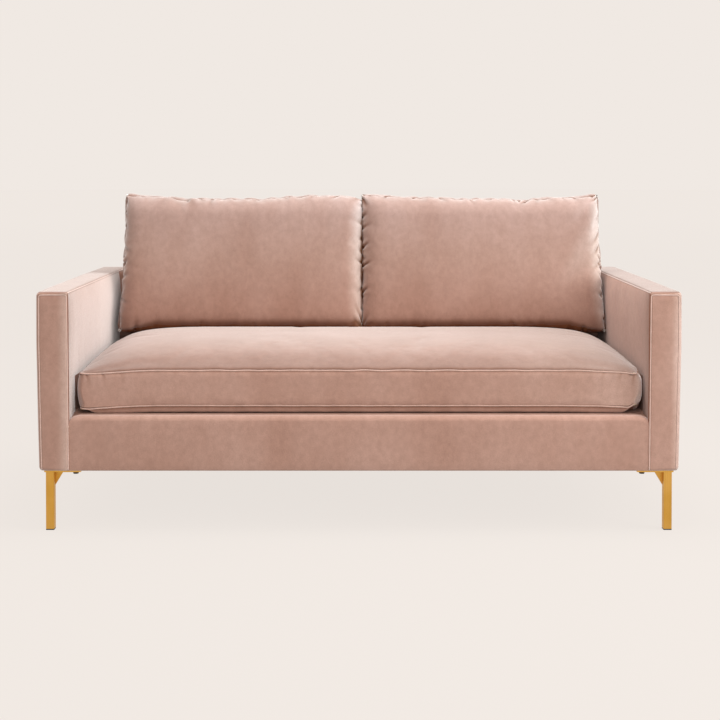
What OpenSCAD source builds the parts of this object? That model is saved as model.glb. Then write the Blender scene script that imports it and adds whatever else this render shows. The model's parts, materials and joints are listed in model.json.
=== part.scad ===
// Two-seat tuxedo sofa: arms and back of one height, one bench seat cushion, two loose
// back cushions and four square brass legs. Millimetres, +Z up, the front faces -Y,
// and left and right are as seen from the front. Origin: on the floor, under the middle.

/* [Overall] */
// Width over the two arms
overall_w = 1728; // [1500:1:2200]
// Depth from the arm fronts to the rear of the back
overall_d = 900; // [820:1:1000]
// Height of the arms and of the back above the floor
arm_h = 642; // [600:1:720]
// Height of the upholstered body above the floor
leg_h = 161; // [120:1:200]

/* [Arms] */
// Thickness of an arm
arm_w = 88; // [76:1:120]
// Foam over the inner side of an arm
arm_pad_t = 12; // [8:1:16]
// Foam over the outer side of an arm
arm_side_pad_t = 8; // [5:1:11]
// Foam over the top of the arms and of the back
top_pad_t = 12; // [8:1:20]
// Foam over the front of an arm
arm_front_pad_t = 8; // [5:1:15]
// Radius of the long top edges
arm_round = 12; // [6:1:16]
// Width of an arm post, front to back
post_w = 75; // [60:1:100]

/* [Back] */
// Thickness of the back
back_t = 165; // [130:1:200]
// Foam over the inner side of the back
back_pad_t = 25; // [15:1:40]
// Width of a strap of the back webbing
strap_w = 60; // [40:1:70]
// Number of straps across the back
strap_count = 3; // [2:1:4]
// Number of upright ribs in the back
rib_count = 4; // [3:1:6]

/* [Base] */
// Height of the base between the legs and the seat cushion
base_h = 149; // [130:1:180]
// Distance of the front rail behind the arm fronts
rail_setback = 3; // [1:1:10]
// Foam over the front rail
rail_pad_t = 12; // [8:1:16]
// Foam over the springs
deck_pad_t = 15; // [10:1:25]
// Velvet over the front of the deck, front to back
deck_lip_w = 110; // [70:1:150]
// Thickness of the wooden boards
board_t = 25; // [20:1:30]
// Height of the two boards across the middle of the base
stretcher_h = 70; // [40:1:90]
// Side of a triangular corner block
block_w = 80; // [50:1:100]

/* [Springs] */
// Number of zigzag springs under the seat
spring_count = 8; // [6:1:10]
// Thickness of the spring wire
wire_d = 3.8; // [3:0.1:4.5]
// Length of the straight bars of a spring
spring_bar = 34; // [24:1:50]
// Distance between two bars of a spring, about
spring_pitch = 30; // [24:1:40]
// Diameter of the tie wires that join the springs
tie_d = 3; // [2:0.1:4]

/* [Fabric] */
// Thickness of the velvet with its wadding
cover_t = 2; // [1.5:0.1:3]
// Thickness of the hardboard linings
lining_t = 3; // [2:0.5:5]
// Thickness of the dust cover
dust_t = 1; // [0.6:0.1:1.5]
// Width of the velvet that is turned under the frame
hem_w = 30; // [15:1:40]
// Distance of the dust cover inside the edges of the sofa
dust_inset = 15; // [8:1:25]

/* [Seat cushion] */
// Distance of the seat cushion behind the arm fronts
seat_setback = 30; // [5:1:60]
// Gap at each side of the seat cushion
seat_side_gap = 8; // [4:1:16]
// Gap behind the seat cushion
seat_rear_gap = 8; // [6:1:16]
// Height of the boxing of the seat cushion
seat_boxing_h = 96; // [80:1:120]
// Height of the crown over the upper seam of the seat cushion
seat_crown = 49; // [30:1:60]
// Depth of the belly under the lower seam of the seat cushion
seat_belly = 23; // [15:1:35]
// Swell of the boxing of the seat cushion
seat_swell = 6; // [2:1:10]
// Radius of the corners of the seat cushion
seat_corner_r = 28; // [15:1:45]

/* [Back cushions] */
// Height of a back cushion along its lean
pillow_h = 416; // [360:1:480]
// Thickness of a back cushion at its seams
pillow_boxing = 118; // [90:1:130]
// Swell of the front of a back cushion
pillow_crown = 34; // [20:1:45]
// Swell of the rear of a back cushion
pillow_rear_crown = 18; // [8:1:25]
// Backward lean of the back cushions, in degrees
pillow_lean = 7; // [5:0.5:9]
// Gap between the two back cushions
pillow_gap = 5; // [2:1:12]
// Gap between a back cushion and its arm, at half the height of the cushion
pillow_side_gap = 40; // [30:1:50]
// Place of the two loose back cushions, to the right of the middle
pillow_shift = 10; // [-12:1:12]
// How far the sides of a back cushion draw in between its corners
pillow_waist = 4; // [0:1:10]
// How much further out a back cushion reaches at its bottom than at its top
pillow_taper = 20; // [0:1:22]
// Radius of the corners of a back cushion
pillow_corner_r = 18; // [12:1:45]

/* [Cushion covers] */
// Thickness of a cushion cover
ticking_t = 3; // [2:0.1:4]
// Width of a zip tape
zip_w = 26; // [20:1:32]
// Thickness of a zip tape
zip_t = 1; // [0.8:0.1:1.5]
// Length of a zip slider
slider_l = 14; // [10:1:18]
// Width of a zip slider
slider_w = 9; // [7:1:12]
// Thickness of a zip slider
slider_t = 3; // [2:0.1:4]
// Length of the pull of a zip slider
pull_l = 24; // [15:1:35]

/* [Legs] */
// Side of the square tube of a leg
leg_w = 22; // [18:1:30]
// Wall of the square tube
leg_wall = 2; // [1.5:0.1:3]
// Radius of the edges of the square tube
leg_round = 2; // [1:0.1:3]
// Distance of a leg inside the outer side of its arm
leg_side_inset = 23; // [15:1:35]
// Distance of a leg behind the arm front
leg_front_inset = 12; // [6:1:20]
// Thickness of the mounting plate
plate_t = 4; // [3:0.5:6]
// Plate left around a bolt
plate_margin = 16; // [12:1:22]
// Distance from the near to the far bolts of a plate
plate_bolt_pitch = 38; // [30:1:60]
// Thickness of the gusset
gusset_t = 3; // [2:0.5:5]
// Width of the gusset under the plate
gusset_w = 23; // [15:1:30]
// Height of the gusset
gusset_h = 38; // [25:1:50]
// Thickness of the plastic foot below a leg
foot_t = 3; // [2:0.5:6]
// Height of the plug of the foot inside a leg
foot_plug_h = 14; // [8:1:20]

/* [Fasteners] */
// Diameter of a bolt
bolt_d = 8; // [6:1:10]
// Width over the flats of a bolt head
bolt_head_w = 13; // [12:1:15]
// Height of a bolt head
bolt_head_h = 5.5; // [4:0.5:7]
// Radius of the flange of a bolt
bolt_flange_r = 8.5; // [7.6:0.1:10]
// Thickness of the flange of a bolt
bolt_flange_t = 1.6; // [1:0.1:2]
// Outer diameter of a threaded insert
insert_d = 11; // [10.6:0.1:13]
// Length of a threaded insert
insert_l = 18; // [12:1:20]
// Diameter of a wood screw
screw_d = 5; // [4:0.5:6]
// Diameter of a screw head
screw_head_d = 9; // [8:0.5:11]
// Thickness of a screw head
screw_head_t = 3; // [2:0.5:4]
// Length of a wood screw
screw_l = 60; // [50:1:75]

/* [Hidden] */
$fn = 32;
soft_gap = 0.4;           // between a soft piece and what it rests on
fill_gap = 0.5;           // between a filling and its cover
fit_gap = 0.05;           // around a shank or an insert
hole_gap = 0.5;           // around a bolt in a clearance hole
bolt_tip_gap = 3;         // from the tip of a bolt to the end of its hole
bend_steps = 4;           // points round a bend of a spring
clip_t = 1.2;             // sheet of a spring clip
clip_l = 24;              // length of a spring clip, side to side
clip_w = 12;              // width of a spring clip, front to back
plate_edge = 4;           // plate outside the leg tube
zip_end = 70;             // boxing left at each end of a zip
zip_rear_shift = 30;      // zip of a back cushion, behind the middle of its boxing
pull_w = 7;               // width of a zip pull
pull_t = 1.4;             // thickness of a zip pull
screw_edge = 35;          // from the edges of a board to its screws
bolt_below_top = 120;     // upper arm bolt, below the top of the arm
bottom_round = 10;        // radius of the lower outer edge of an arm
cut = 1;                  // overrun of a cut past a face

seat_side_power = 10;     // flatness of the seat's crown from side to side
seat_depth_power = 4;     // flatness of the seat's crown from front to back
pillow_power = 3;         // flatness of a back cushion's swell

crown_shares = [0.95, 0.87, 0.75, 0.5];   // rings of a crown, from the seam to the middle
belly_shares = [0.45, 0.8, 0.93];         // rings of an underside, from the middle to the seam
boxing_shares = [-1, -1/3, 1/3, 1];       // rings of a boxing, from seam to seam
long_steps = 10;          // points along a long side of a cushion
short_steps = 4;          // points along a short side of a cushion
corner_steps = 2;         // points round a corner of a cushion

velvet = [0.76, 0.61, 0.56];
deck_cloth = [0.62, 0.50, 0.46];
foam = [0.93, 0.90, 0.78];
wood = [0.80, 0.66, 0.46];
hardboard = [0.55, 0.42, 0.30];
brass = [0.80, 0.60, 0.26];
steel = [0.45, 0.45, 0.47];
black = [0.10, 0.09, 0.09];

// The outside of the three upholstered boxes
arm_out = overall_w / 2;
arm_in = arm_out - arm_w;
front_y = -overall_d / 2;
rear_y = overall_d / 2;
back_in_y = rear_y - back_t;
deck_z = leg_h + base_h;

// Layers of an arm, from its inner side outwards
arm_pad_x = arm_in + cover_t;
arm_lining_x = arm_pad_x + arm_pad_t;
arm_wood_x = arm_lining_x + lining_t;
arm_side_pad_x = arm_out - cover_t - arm_side_pad_t;
arm_wood_out_x = arm_side_pad_x - lining_t;
arm_wood_y = front_y + cover_t + arm_front_pad_t;
arm_wood_rear_y = rear_y - cover_t;

// Heights of the wooden frame
frame_z = leg_h + cover_t;
board_z = frame_z + board_t;
top_rail_z = arm_h - cover_t - top_pad_t;
post_top_z = top_rail_z - board_t;
spring_zone_h = wire_d + 2 * clip_t;
rail_top_z = deck_z - cover_t - deck_pad_t - spring_zone_h;
wire_z = rail_top_z + spring_zone_h / 2;

// Layers of the base and of the back, from the front backwards
rail_cover_y = front_y + rail_setback;
rail_y = rail_cover_y + cover_t + rail_pad_t;
rail_rear_y = rail_y + board_t;
deck_seam_y = rail_cover_y + deck_lip_w;
webbing_t = cover_t;
rib_y = back_in_y + cover_t + back_pad_t + webbing_t;
rib_rear_y = rear_y - cover_t - lining_t;
rear_rail_y = rib_y - board_t;
rib_pitch = (2 * arm_in - board_t) / (rib_count - 1);
rib_xs = [for (i = [0 : rib_count - 1]) -arm_in + board_t / 2 + i * rib_pitch];

// Places of the legs and of their bolts, for the front right corner
plate_z = leg_h - dust_t - plate_t;
leg_x = arm_out - leg_side_inset - leg_w / 2;
leg_y = front_y + leg_front_inset + leg_w / 2;
side_rail_x = arm_in - board_t / 2;
near_bolt_y = rail_y + board_t / 2;
far_bolt_y = near_bolt_y + plate_bolt_pitch;
leg_bolts_at = [[side_rail_x, near_bolt_y], [side_rail_x, far_bolt_y], [leg_x, far_bolt_y]];
leg_bolt_l = cover_t + dust_t + plate_t + insert_l + bolt_tip_gap;
insert_hole_l = insert_l + 2 * bolt_tip_gap;

// Screws through the front and rear rails into the side rails, the stretchers and the ribs
stretcher_xs = [-arm_in / 3, arm_in / 3];
side_screw_zs = [frame_z + screw_edge, rail_top_z - screw_edge];
mid_screw_z = (frame_z + rail_top_z) / 2;

// Places of the bolts through an arm: [y, z] at its inner side
front_bolt_y = (rail_rear_y + arm_wood_y + post_w) / 2;
rear_bolt_y = arm_wood_rear_y - post_w / 2;
low_bolt_z = mid_screw_z;
block_top_z = low_bolt_z - bolt_flange_r - bolt_tip_gap;
arm_bolts_at = [
    [front_bolt_y, low_bolt_z], [rear_bolt_y, low_bolt_z],
    [rear_bolt_y, arm_h - bolt_below_top]];
arm_bolt_l = board_t + cover_t + arm_pad_t + lining_t + insert_l + bolt_tip_gap;

// The seat cushion
seat_w = 2 * (arm_in - seat_side_gap - seat_swell);
seat_front_y = front_y + seat_setback + seat_swell;
seat_rear_y = back_in_y - seat_rear_gap;
seat_d = seat_rear_y - seat_front_y;
seat_y = (seat_front_y + seat_rear_y) / 2;
seat_press_share = 0.25;  // of the belly, that the deck presses flat
seat_rest_z = deck_z + soft_gap;
seat_mid_z = seat_rest_z + seat_belly + seat_boxing_h / 2;

// The back cushions lean on the top of the back and stand on the seat cushion
pillow_w = arm_in - pillow_side_gap - pillow_gap / 2;
pillow_x = pillow_gap / 2 + pillow_w / 2;
seat_profile = [for (s = concat([1], crown_shares, [0]))
    [-s, seat_crown * crown_fall(s, seat_depth_power)]];
function seat_top(y) = seat_mid_z + seat_boxing_h / 2
    + lookup(-min(1, abs(y - seat_y) / (seat_d / 2)), seat_profile);
rear_swell = pillow_boxing / 2 + pillow_rear_crown;
pillow_contact_z = arm_h - arm_round;
pillow_bottom_at = [for (i = [-6 : 6]) i / 6 * pillow_boxing / 2];
// Where the middle of a back cushion lies when its rear leans on the top edge of the back
function lean_y(z) = back_in_y - soft_gap - rear_swell / cos(pillow_lean)
    + (z - pillow_contact_z) * tan(pillow_lean);
// How high the middle lies when the bottom stands on the seat cushion
function stand_z(y) = soft_gap + pillow_h / 2 * cos(pillow_lean)
    + max([for (t = pillow_bottom_at) t * -sin(pillow_lean)
        + seat_top(y - t * cos(pillow_lean) - pillow_h / 2 * sin(pillow_lean))]);
pillow_first_y = lean_y(seat_mid_z + seat_boxing_h / 2 + seat_crown + pillow_h / 2);
pillow_y = lean_y(stand_z(pillow_first_y));
pillow_z = stand_z(pillow_y);

// Helpers

module block(low, high) {
    translate(low) cube(high - low);
}

// Mirrors what is modelled for the right-hand side to the left
module on_side(side) {
    mirror([side < 0 ? 1 : 0, 0, 0]) children();
}

// Mirrors what is modelled for the front to the rear
module at_end(end) {
    mirror([0, end > 0 ? 1 : 0, 0]) children();
}

module at_corners() {
    for (side = [-1, 1], end = [-1, 1])
        on_side(side) at_end(end) children();
}

// A rectangle from low to high with a radius at its corners: low-low, high-low, high-high, low-high
module round_rect(low, high, radii) {
    corners = [low, [high.x, low.y], high, [low.x, high.y]];
    inward = [[1, 1], [-1, 1], [-1, -1], [1, -1]];
    difference() {
        translate(low) square(high - low);
        for (i = [0 : 3])
            if (radii[i] > 0)
                translate(corners[i]) into_corner(inward[i])
                    difference() {
                        translate([-cut, -cut]) square(radii[i] + cut);
                        translate([radii[i], radii[i]]) circle(radii[i]);
                    }
    }
}

// Mirrors a corner cutter into its corner
module into_corner(way) {
    mirror([way.x < 0 ? 1 : 0, 0]) mirror([0, way.y < 0 ? 1 : 0]) children();
}

// An outline drawn in x and z, given depth from y1 to y2
module along_y(y1, y2) {
    translate([0, y2, 0]) rotate([90, 0, 0]) linear_extrude(y2 - y1) children();
}

// An outline drawn in y and z, given width from x1 to x2
module along_x(x1, x2) {
    translate([x1, 0, 0]) rotate([90, 0, 90]) linear_extrude(x2 - x1) children();
}

module rod_y(d, y1, y2) {
    translate([0, y1, 0]) rotate([-90, 0, 0]) cylinder(d = d, h = y2 - y1);
}

module rod_x(d, x1, x2) {
    translate([x1, 0, 0]) rotate([0, 90, 0]) cylinder(d = d, h = x2 - x1);
}

// Holes along Z for the bolts of the legs, from z1 to z2
module leg_bolt_holes(d, z1, z2) {
    at_corners() for (p = leg_bolts_at)
        translate([p.x, p.y, z1]) cylinder(d = d, h = z2 - z1);
}

// Wooden parts take an insert for each bolt
module leg_insert_holes() {
    leg_bolt_holes(insert_d + 2 * fit_gap, frame_z - cut, frame_z + insert_hole_l);
}

// Holes along X for the bolts of an arm, from x1 to x2 on the right-hand side
module arm_bolt_holes(d, x1, x2) {
    for (p = arm_bolts_at) translate([0, p.x, p.y]) rod_x(d, x1, x2);
}

// Crowned cushions

function crown_fall(share, power) = 1 - pow(abs(share), power);

// Rounded rectangle as points [x, y, normal x, normal y]
function outline(w, d, r) = [
    for (k = [0 : 3])
        let (cx = (k == 0 || k == 3 ? 1 : -1) * (w / 2 - r),
             cy = (k < 2 ? 1 : -1) * (d / 2 - r),
             side = k % 2 == 0 ? w - 2 * r : d - 2 * r,
             steps = k % 2 == 0 ? long_steps : short_steps,
             last = 90 * (k + 1))
        each concat(
            [for (j = [0 : corner_steps])
                let (a = 90 * k + 90 * j / corner_steps)
                [cx + r * cos(a), cy + r * sin(a), cos(a), sin(a)]],
            [for (j = [1 : steps - 1])
                let (run = side * j / steps)
                [cx + r * cos(last) - sin(last) * run, cy + r * sin(last) + cos(last) * run,
                 cos(last), sin(last)]])];

// A box cushion lying flat about its middle, with its crown up. The sides towards -y and +y
// swell and draw in by their own shares. Below floor_z the underside is pressed flat.
module cushion(w, d, boxing, r, crown, belly, powers, swell, waist, taper, side_shares, floor_z) {
    line = outline(w, d, r);
    n = len(line);
    fall = function (x, y) crown_fall(2 * x / w, powers.x) * crown_fall(2 * y / d, powers.y);
    side_share = function (y) y < 0 ? side_shares[0] : side_shares[1];
    // Draws the sides in between the corners, and leans the side towards +x
    drawn = function (p) let (u = 2 * p.x / w, v = 2 * p.y / d)
        [p.x - waist * u * (1 - v * v) - taper * v * (1 + u) / 4,
         p.y - waist * v * (1 - u * u) * side_share(v)];
    crown_ring = function (s, height, way) [for (p = line)
        let (q = drawn([s * p.x, s * p.y]))
        [q.x, q.y, way * (boxing / 2 + height * fall(s * p.x, s * p.y))]];
    boxing_ring = function (s) [for (p = line)
        let (q = drawn([p.x, p.y]), out = swell * (1 - s * s))
        [q.x + out * p[2], q.y + out * p[3] * side_share(p[3]), s * boxing / 2]];
    rings = concat(
        [for (s = belly_shares) crown_ring(s, belly, -1)],
        [for (s = boxing_shares) boxing_ring(s)],
        [for (s = crown_shares) crown_ring(s, crown, 1)]);
    points = concat(
        [for (ring = rings) each ring],
        [[0, 0, -boxing / 2 - belly], [0, 0, boxing / 2 + crown]]);
    pressed = [for (p = points) [p.x, p.y, max(p.z, floor_z)]];
    low = len(rings) * n;
    faces = concat(
        [for (i = [0 : n - 1]) [low, i, (i + 1) % n]],
        [for (k = [0 : len(rings) - 2], i = [0 : n - 1])
            let (a = k * n + i, b = k * n + (i + 1) % n)
            each [[a, a + n, b + n], [a, b + n, b]]],
        [for (i = [0 : n - 1])
            [low + 1, (len(rings) - 1) * n + (i + 1) % n, (len(rings) - 1) * n + i]]);
    polyhedron(pressed, faces);
}

module seat_form(inset) {
    translate([0, seat_y, seat_mid_z])
        cushion(seat_w - 2 * inset, seat_d - 2 * inset, seat_boxing_h - 2 * inset,
                seat_corner_r - inset, seat_crown, seat_belly * (1 + seat_press_share),
                [seat_side_power, seat_depth_power], seat_swell, 0, 0, [1, 0],
                seat_rest_z + inset - seat_mid_z);
}

// Leans what is modelled in a back cushion's own frame: x outwards, y up, z forward
module in_pillow(side) {
    translate([pillow_shift, 0, 0]) on_side(side)
        translate([pillow_x, pillow_y, pillow_z]) rotate([90 - pillow_lean, 0, 0]) children();
}

module pillow_form(inset) {
    cushion(pillow_w - 2 * inset, pillow_h - 2 * inset, pillow_boxing - 2 * inset,
            pillow_corner_r - inset, pillow_crown, pillow_rear_crown,
            [pillow_power, pillow_power], 0, pillow_waist, pillow_taper, [0, 1], -pillow_h);
}

// Wooden frame

module arm_post(end) {
    y1 = end < 0 ? arm_wood_y : arm_wood_rear_y - post_w;
    color(wood) difference() {
        block([arm_wood_x, y1, board_z], [arm_wood_out_x, y1 + post_w, post_top_z]);
        arm_bolt_holes(insert_d + 2 * fit_gap, arm_wood_x - cut, arm_wood_x + insert_hole_l);
    }
}

module arm_bottom_rail() {
    color(wood) difference() {
        block([arm_wood_x, arm_wood_y, frame_z], [arm_wood_out_x, arm_wood_rear_y, board_z]);
        leg_insert_holes();
    }
}

module arm_top_rail() {
    color(wood) block([arm_wood_x, arm_wood_y, post_top_z],
                      [arm_wood_out_x, arm_wood_rear_y, top_rail_z]);
}

module screw(way) {
    rotate([0, 0, way < 0 ? 180 : 0]) {
        rod_y(screw_head_d, 0, screw_head_t);
        rod_y(screw_d, screw_head_t, screw_l);
    }
}

module screw_hole(way) {
    rotate([0, 0, way < 0 ? 180 : 0]) {
        rod_y(screw_head_d + 2 * fit_gap, -cut, screw_head_t + fit_gap);
        rod_y(screw_d + 2 * fit_gap, screw_head_t - cut, screw_l + bolt_tip_gap);
    }
}

// Calls its child at each screw of the base: 0 for the screw and 1 for its hole
module base_screws(hole) {
    for (x = concat([-side_rail_x, side_rail_x], stretcher_xs), z = side_screw_zs)
        if (abs(x) == side_rail_x || z < frame_z + stretcher_h) {
            translate([x, rail_y, z]) if (hole) screw_hole(1); else screw(1);
            translate([x, rib_y, z]) if (hole) screw_hole(-1); else screw(-1);
        }
}

module rib_screws(hole) {
    for (x = rib_xs)
        translate([x, rear_rail_y, mid_screw_z]) if (hole) screw_hole(1); else screw(1);
}

module front_rail() {
    color(wood) difference() {
        block([-arm_in, rail_y, frame_z], [arm_in, rail_rear_y, rail_top_z]);
        leg_insert_holes();
        base_screws(true);
    }
}

module rear_rail() {
    color(wood) difference() {
        block([-arm_in, rear_rail_y, frame_z], [arm_in, rib_y, rail_top_z]);
        base_screws(true);
        rib_screws(true);
    }
}

module side_rail() {
    color(wood) difference() {
        block([arm_in - board_t, rail_rear_y, frame_z], [arm_in, rear_rail_y, rail_top_z]);
        leg_insert_holes();
        base_screws(true);
        arm_bolt_holes(bolt_d + 2 * hole_gap, arm_in - board_t - cut, arm_in + cut);
    }
}

module seat_stretchers() {
    color(wood) for (x = stretcher_xs) difference() {
        block([x - board_t / 2, rail_rear_y, frame_z],
              [x + board_t / 2, rear_rail_y, frame_z + stretcher_h]);
        base_screws(true);
    }
}

module corner_blocks() {
    inner_x = arm_in - board_t;
    ends = [[rail_rear_y, 1], [rear_rail_y, -1]];
    color(wood) for (side = [-1, 1], end = ends) on_side(side)
        translate([0, 0, frame_z]) linear_extrude(block_top_z - frame_z)
            polygon([[inner_x, end.x], [inner_x - block_w, end.x],
                     [inner_x, end.x + end.y * block_w]]);
}

module back_bottom_rail() {
    color(wood) difference() {
        block([-arm_in, rib_y, frame_z], [arm_in, rib_rear_y, board_z]);
        leg_insert_holes();
    }
}

module back_top_rail() {
    color(wood) block([-arm_in, rib_y, post_top_z], [arm_in, rib_rear_y, top_rail_z]);
}

module back_ribs() {
    color(wood) difference() {
        for (x = rib_xs)
            block([x - board_t / 2, rib_y, board_z], [x + board_t / 2, rib_rear_y, post_top_z]);
        rib_screws(true);
        for (side = [-1, 1]) on_side(side)
            arm_bolt_holes(bolt_d + 2 * hole_gap, arm_in - board_t - cut, arm_in + cut);
    }
}

// Suspension and padding of the seat and the back

module back_webbing() {
    room = post_top_z - deck_z;
    color(black) for (i = [1 : strap_count]) {
        z = deck_z + room * i / (strap_count + 1);
        block([-arm_in, rib_y - webbing_t, z - strap_w / 2], [arm_in, rib_y, z + strap_w / 2]);
    }
}

module back_lining() {
    color(hardboard) block([-arm_in, rib_rear_y, frame_z],
                           [arm_in, rib_rear_y + lining_t, top_rail_z]);
}

spring_y1 = rail_y + board_t / 2;
spring_y2 = rear_rail_y + board_t / 2;
bar_count = 1 + 2 * floor((spring_y2 - spring_y1) / spring_pitch / 2);
bar_gap = (spring_y2 - spring_y1) / (bar_count - 1);
spring_xs = [for (i = [1 : spring_count]) arm_in * (2 * i - 1 - spring_count) / spring_count];

// One side of the wire, from the first bar to the last, to the left of its middle line
function wire_side(off) = concat(
    [[-spring_bar / 2, off]],
    [for (i = [0 : bar_count - 2], j = [0 : bend_steps])
        let (way = i % 2 == 0 ? 1 : -1,
             turn = 180 * j / bend_steps - 90,
             r = bar_gap / 2 - way * off)
        [way * (spring_bar / 2 + r * cos(turn)), (i + 0.5) * bar_gap + r * sin(turn)]],
    [[spring_bar / 2, (bar_count - 1) * bar_gap + off]]);

module zigzag_spring() {
    right = wire_side(-wire_d / 2);
    translate([0, spring_y1, wire_z - wire_d / 2]) linear_extrude(wire_d)
        polygon(concat(wire_side(wire_d / 2), [for (i = [len(right) - 1 : -1 : 0]) right[i]]));
}

module seat_springs() {
    color(steel) for (x = spring_xs) translate([x, 0, 0]) zigzag_spring();
}

module spring_clips() {
    color(steel) for (x = spring_xs, y = [spring_y1, spring_y2])
        translate([x, y, rail_top_z]) difference() {
            block([-clip_l / 2, -clip_w / 2, 0], [clip_l / 2, clip_w / 2, spring_zone_h]);
            block([-clip_l / 2 - cut, -wire_d / 2 - fit_gap, clip_t - fit_gap],
                  [clip_l / 2 + cut, wire_d / 2 + fit_gap, clip_t + wire_d + fit_gap]);
        }
}

module spring_tie_wires() {
    inner_x = arm_in - board_t;
    z = wire_z - wire_d / 2 - tie_d / 2;
    color(steel) for (i = [1, 2])
        translate([0, spring_y1 + (spring_y2 - spring_y1) * i / 3, z])
            rod_x(tie_d, -inner_x, inner_x);
}

module deck_pad() {
    color(foam) block([-arm_in, rail_y, deck_z - cover_t - deck_pad_t],
                      [arm_in, rib_y, deck_z - cover_t]);
}

module deck_cover() {
    color(deck_cloth) block([-arm_in, deck_seam_y, deck_z - cover_t], [arm_in, rib_y, deck_z]);
}

module front_rail_foam() {
    color(foam) along_x(-arm_in, arm_in)
        round_rect([rail_cover_y + cover_t, frame_z], [rail_y, deck_z - cover_t],
                   [0, 0, 0, rail_pad_t]);
}

module back_foam() {
    color(foam) along_x(-arm_in, arm_in) difference() {
        round_rect([back_in_y + cover_t, deck_z], [rear_y - cover_t, arm_h - cover_t],
                   [0, 0, arm_round - cover_t, arm_round - cover_t]);
        translate([back_in_y + cover_t + back_pad_t, deck_z - cut])
            square([back_t, top_rail_z - deck_z + cut]);
    }
}

// The foam of an arm wraps its wooden frame on four sides
module arm_profile(inset) {
    top_r = arm_round - inset;
    round_rect([arm_in + inset, leg_h + inset], [arm_out - inset, arm_h - inset],
               [0, bottom_round - inset, top_r, top_r]);
}

module arm_foam() {
    color(foam) difference() {
        along_y(front_y + cover_t, arm_wood_rear_y) arm_profile(cover_t);
        block([arm_lining_x, arm_wood_y, leg_h],
              [arm_side_pad_x, arm_wood_rear_y + cut, top_rail_z]);
        arm_bolt_holes(bolt_d + 2 * hole_gap, arm_in, arm_lining_x + cut);
    }
}

module arm_lining(x1) {
    color(hardboard) difference() {
        block([x1, arm_wood_y, frame_z], [x1 + lining_t, arm_wood_rear_y, top_rail_z]);
        arm_bolt_holes(bolt_d + 2 * hole_gap, arm_lining_x - cut, arm_wood_x + cut);
    }
}

// Covers

module arm_cover() {
    color(velvet) difference() {
        along_y(front_y, rear_y) arm_profile(0);
        along_y(front_y + cover_t, rear_y - cover_t) arm_profile(cover_t);
        block([arm_in + hem_w, front_y + hem_w, leg_h - cut],
              [arm_out - hem_w, rear_y - hem_w, frame_z + cut]);
        arm_bolt_holes(bolt_d + 2 * hole_gap, arm_in - cut, arm_pad_x + cut);
        leg_bolt_holes(bolt_d + 2 * hole_gap, leg_h - cut, frame_z + cut);
    }
}

module front_rail_cover() {
    r = cover_t + rail_pad_t;
    color(velvet) difference() {
        along_x(-arm_in, arm_in) difference() {
            round_rect([rail_cover_y, leg_h], [deck_seam_y, deck_z], [0, 0, 0, r]);
            round_rect([rail_cover_y + cover_t, frame_z], [deck_seam_y + cut, deck_z - cover_t],
                       [0, 0, 0, rail_pad_t]);
            translate([rail_cover_y + hem_w, leg_h - cut])
                square([deck_lip_w, frame_z - leg_h + 2 * cut]);
        }
        leg_bolt_holes(bolt_d + 2 * hole_gap, leg_h - cut, frame_z + cut);
    }
}

module back_cover() {
    color(velvet) difference() {
        along_x(-arm_in, arm_in) difference() {
            round_rect([back_in_y, leg_h], [rear_y, arm_h], [0, 0, arm_round, arm_round]);
            round_rect([back_in_y + cover_t, frame_z], [rear_y - cover_t, arm_h - cover_t],
                       [0, 0, arm_round - cover_t, arm_round - cover_t]);
            translate([back_in_y - cut, leg_h - cut])
                square([back_t - hem_w + cut, deck_z - leg_h + cut]);
        }
        leg_bolt_holes(bolt_d + 2 * hole_gap, leg_h - cut, frame_z + cut);
    }
}

module dust_cover() {
    color(black) difference() {
        block([-arm_out + dust_inset, front_y + dust_inset, leg_h - dust_t],
              [arm_out - dust_inset, rear_y - dust_inset, leg_h]);
        leg_bolt_holes(bolt_d + 2 * hole_gap, leg_h - dust_t - cut, leg_h + cut);
    }
}

// Legs

module leg_plate() {
    block([side_rail_x - plate_margin, leg_y - leg_w / 2, plate_z],
          [leg_x + leg_w / 2 + plate_edge, far_bolt_y + plate_margin, plate_z + plate_t]);
}

module leg() {
    half = leg_w / 2;
    bore = half - leg_wall;
    round_in = max(leg_round - leg_wall, 0);
    color(brass) difference() {
        union() {
            leg_plate();
            translate([leg_x, leg_y, foot_t]) linear_extrude(plate_z - foot_t) difference() {
                round_rect([-half, -half], [half, half], [for (i = [0 : 3]) leg_round]);
                round_rect([-bore, -bore], [bore, bore], [for (i = [0 : 3]) round_in]);
            }
            // The gusset stands at the rear of the tube, on its inner side
            along_y(leg_y + half - gusset_t, leg_y + half)
                polygon([[leg_x - half, plate_z], [leg_x - half - gusset_w, plate_z],
                         [leg_x - half, plate_z - gusset_h]]);
        }
        for (p = leg_bolts_at) translate([p.x, p.y, plate_z - cut])
            cylinder(d = bolt_d + 2 * hole_gap, h = plate_t + 2 * cut);
    }
}

module leg_feet() {
    half = leg_w / 2;
    plug = half - leg_wall - fit_gap;
    color(black) at_corners() translate([leg_x, leg_y, 0]) {
        linear_extrude(foot_t)
            round_rect([-half, -half], [half, half], [for (i = [0 : 3]) leg_round]);
        block([-plug, -plug, foot_t], [plug, plug, foot_t + foot_plug_h]);
    }
}

// Fasteners

// A flanged hexagon bolt with its flange's face at the origin and its shank along +Z
module flanged_bolt(l) {
    cylinder(d = bolt_d, h = l);
    translate([0, 0, -bolt_flange_t]) cylinder(r = bolt_flange_r, h = bolt_flange_t);
    translate([0, 0, -bolt_flange_t - bolt_head_h])
        cylinder(d = bolt_head_w / cos(30), h = bolt_head_h, $fn = 6);
}

module leg_bolts() {
    color(black) at_corners() for (p = leg_bolts_at)
        translate([p.x, p.y, plate_z]) flanged_bolt(leg_bolt_l);
}

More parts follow.
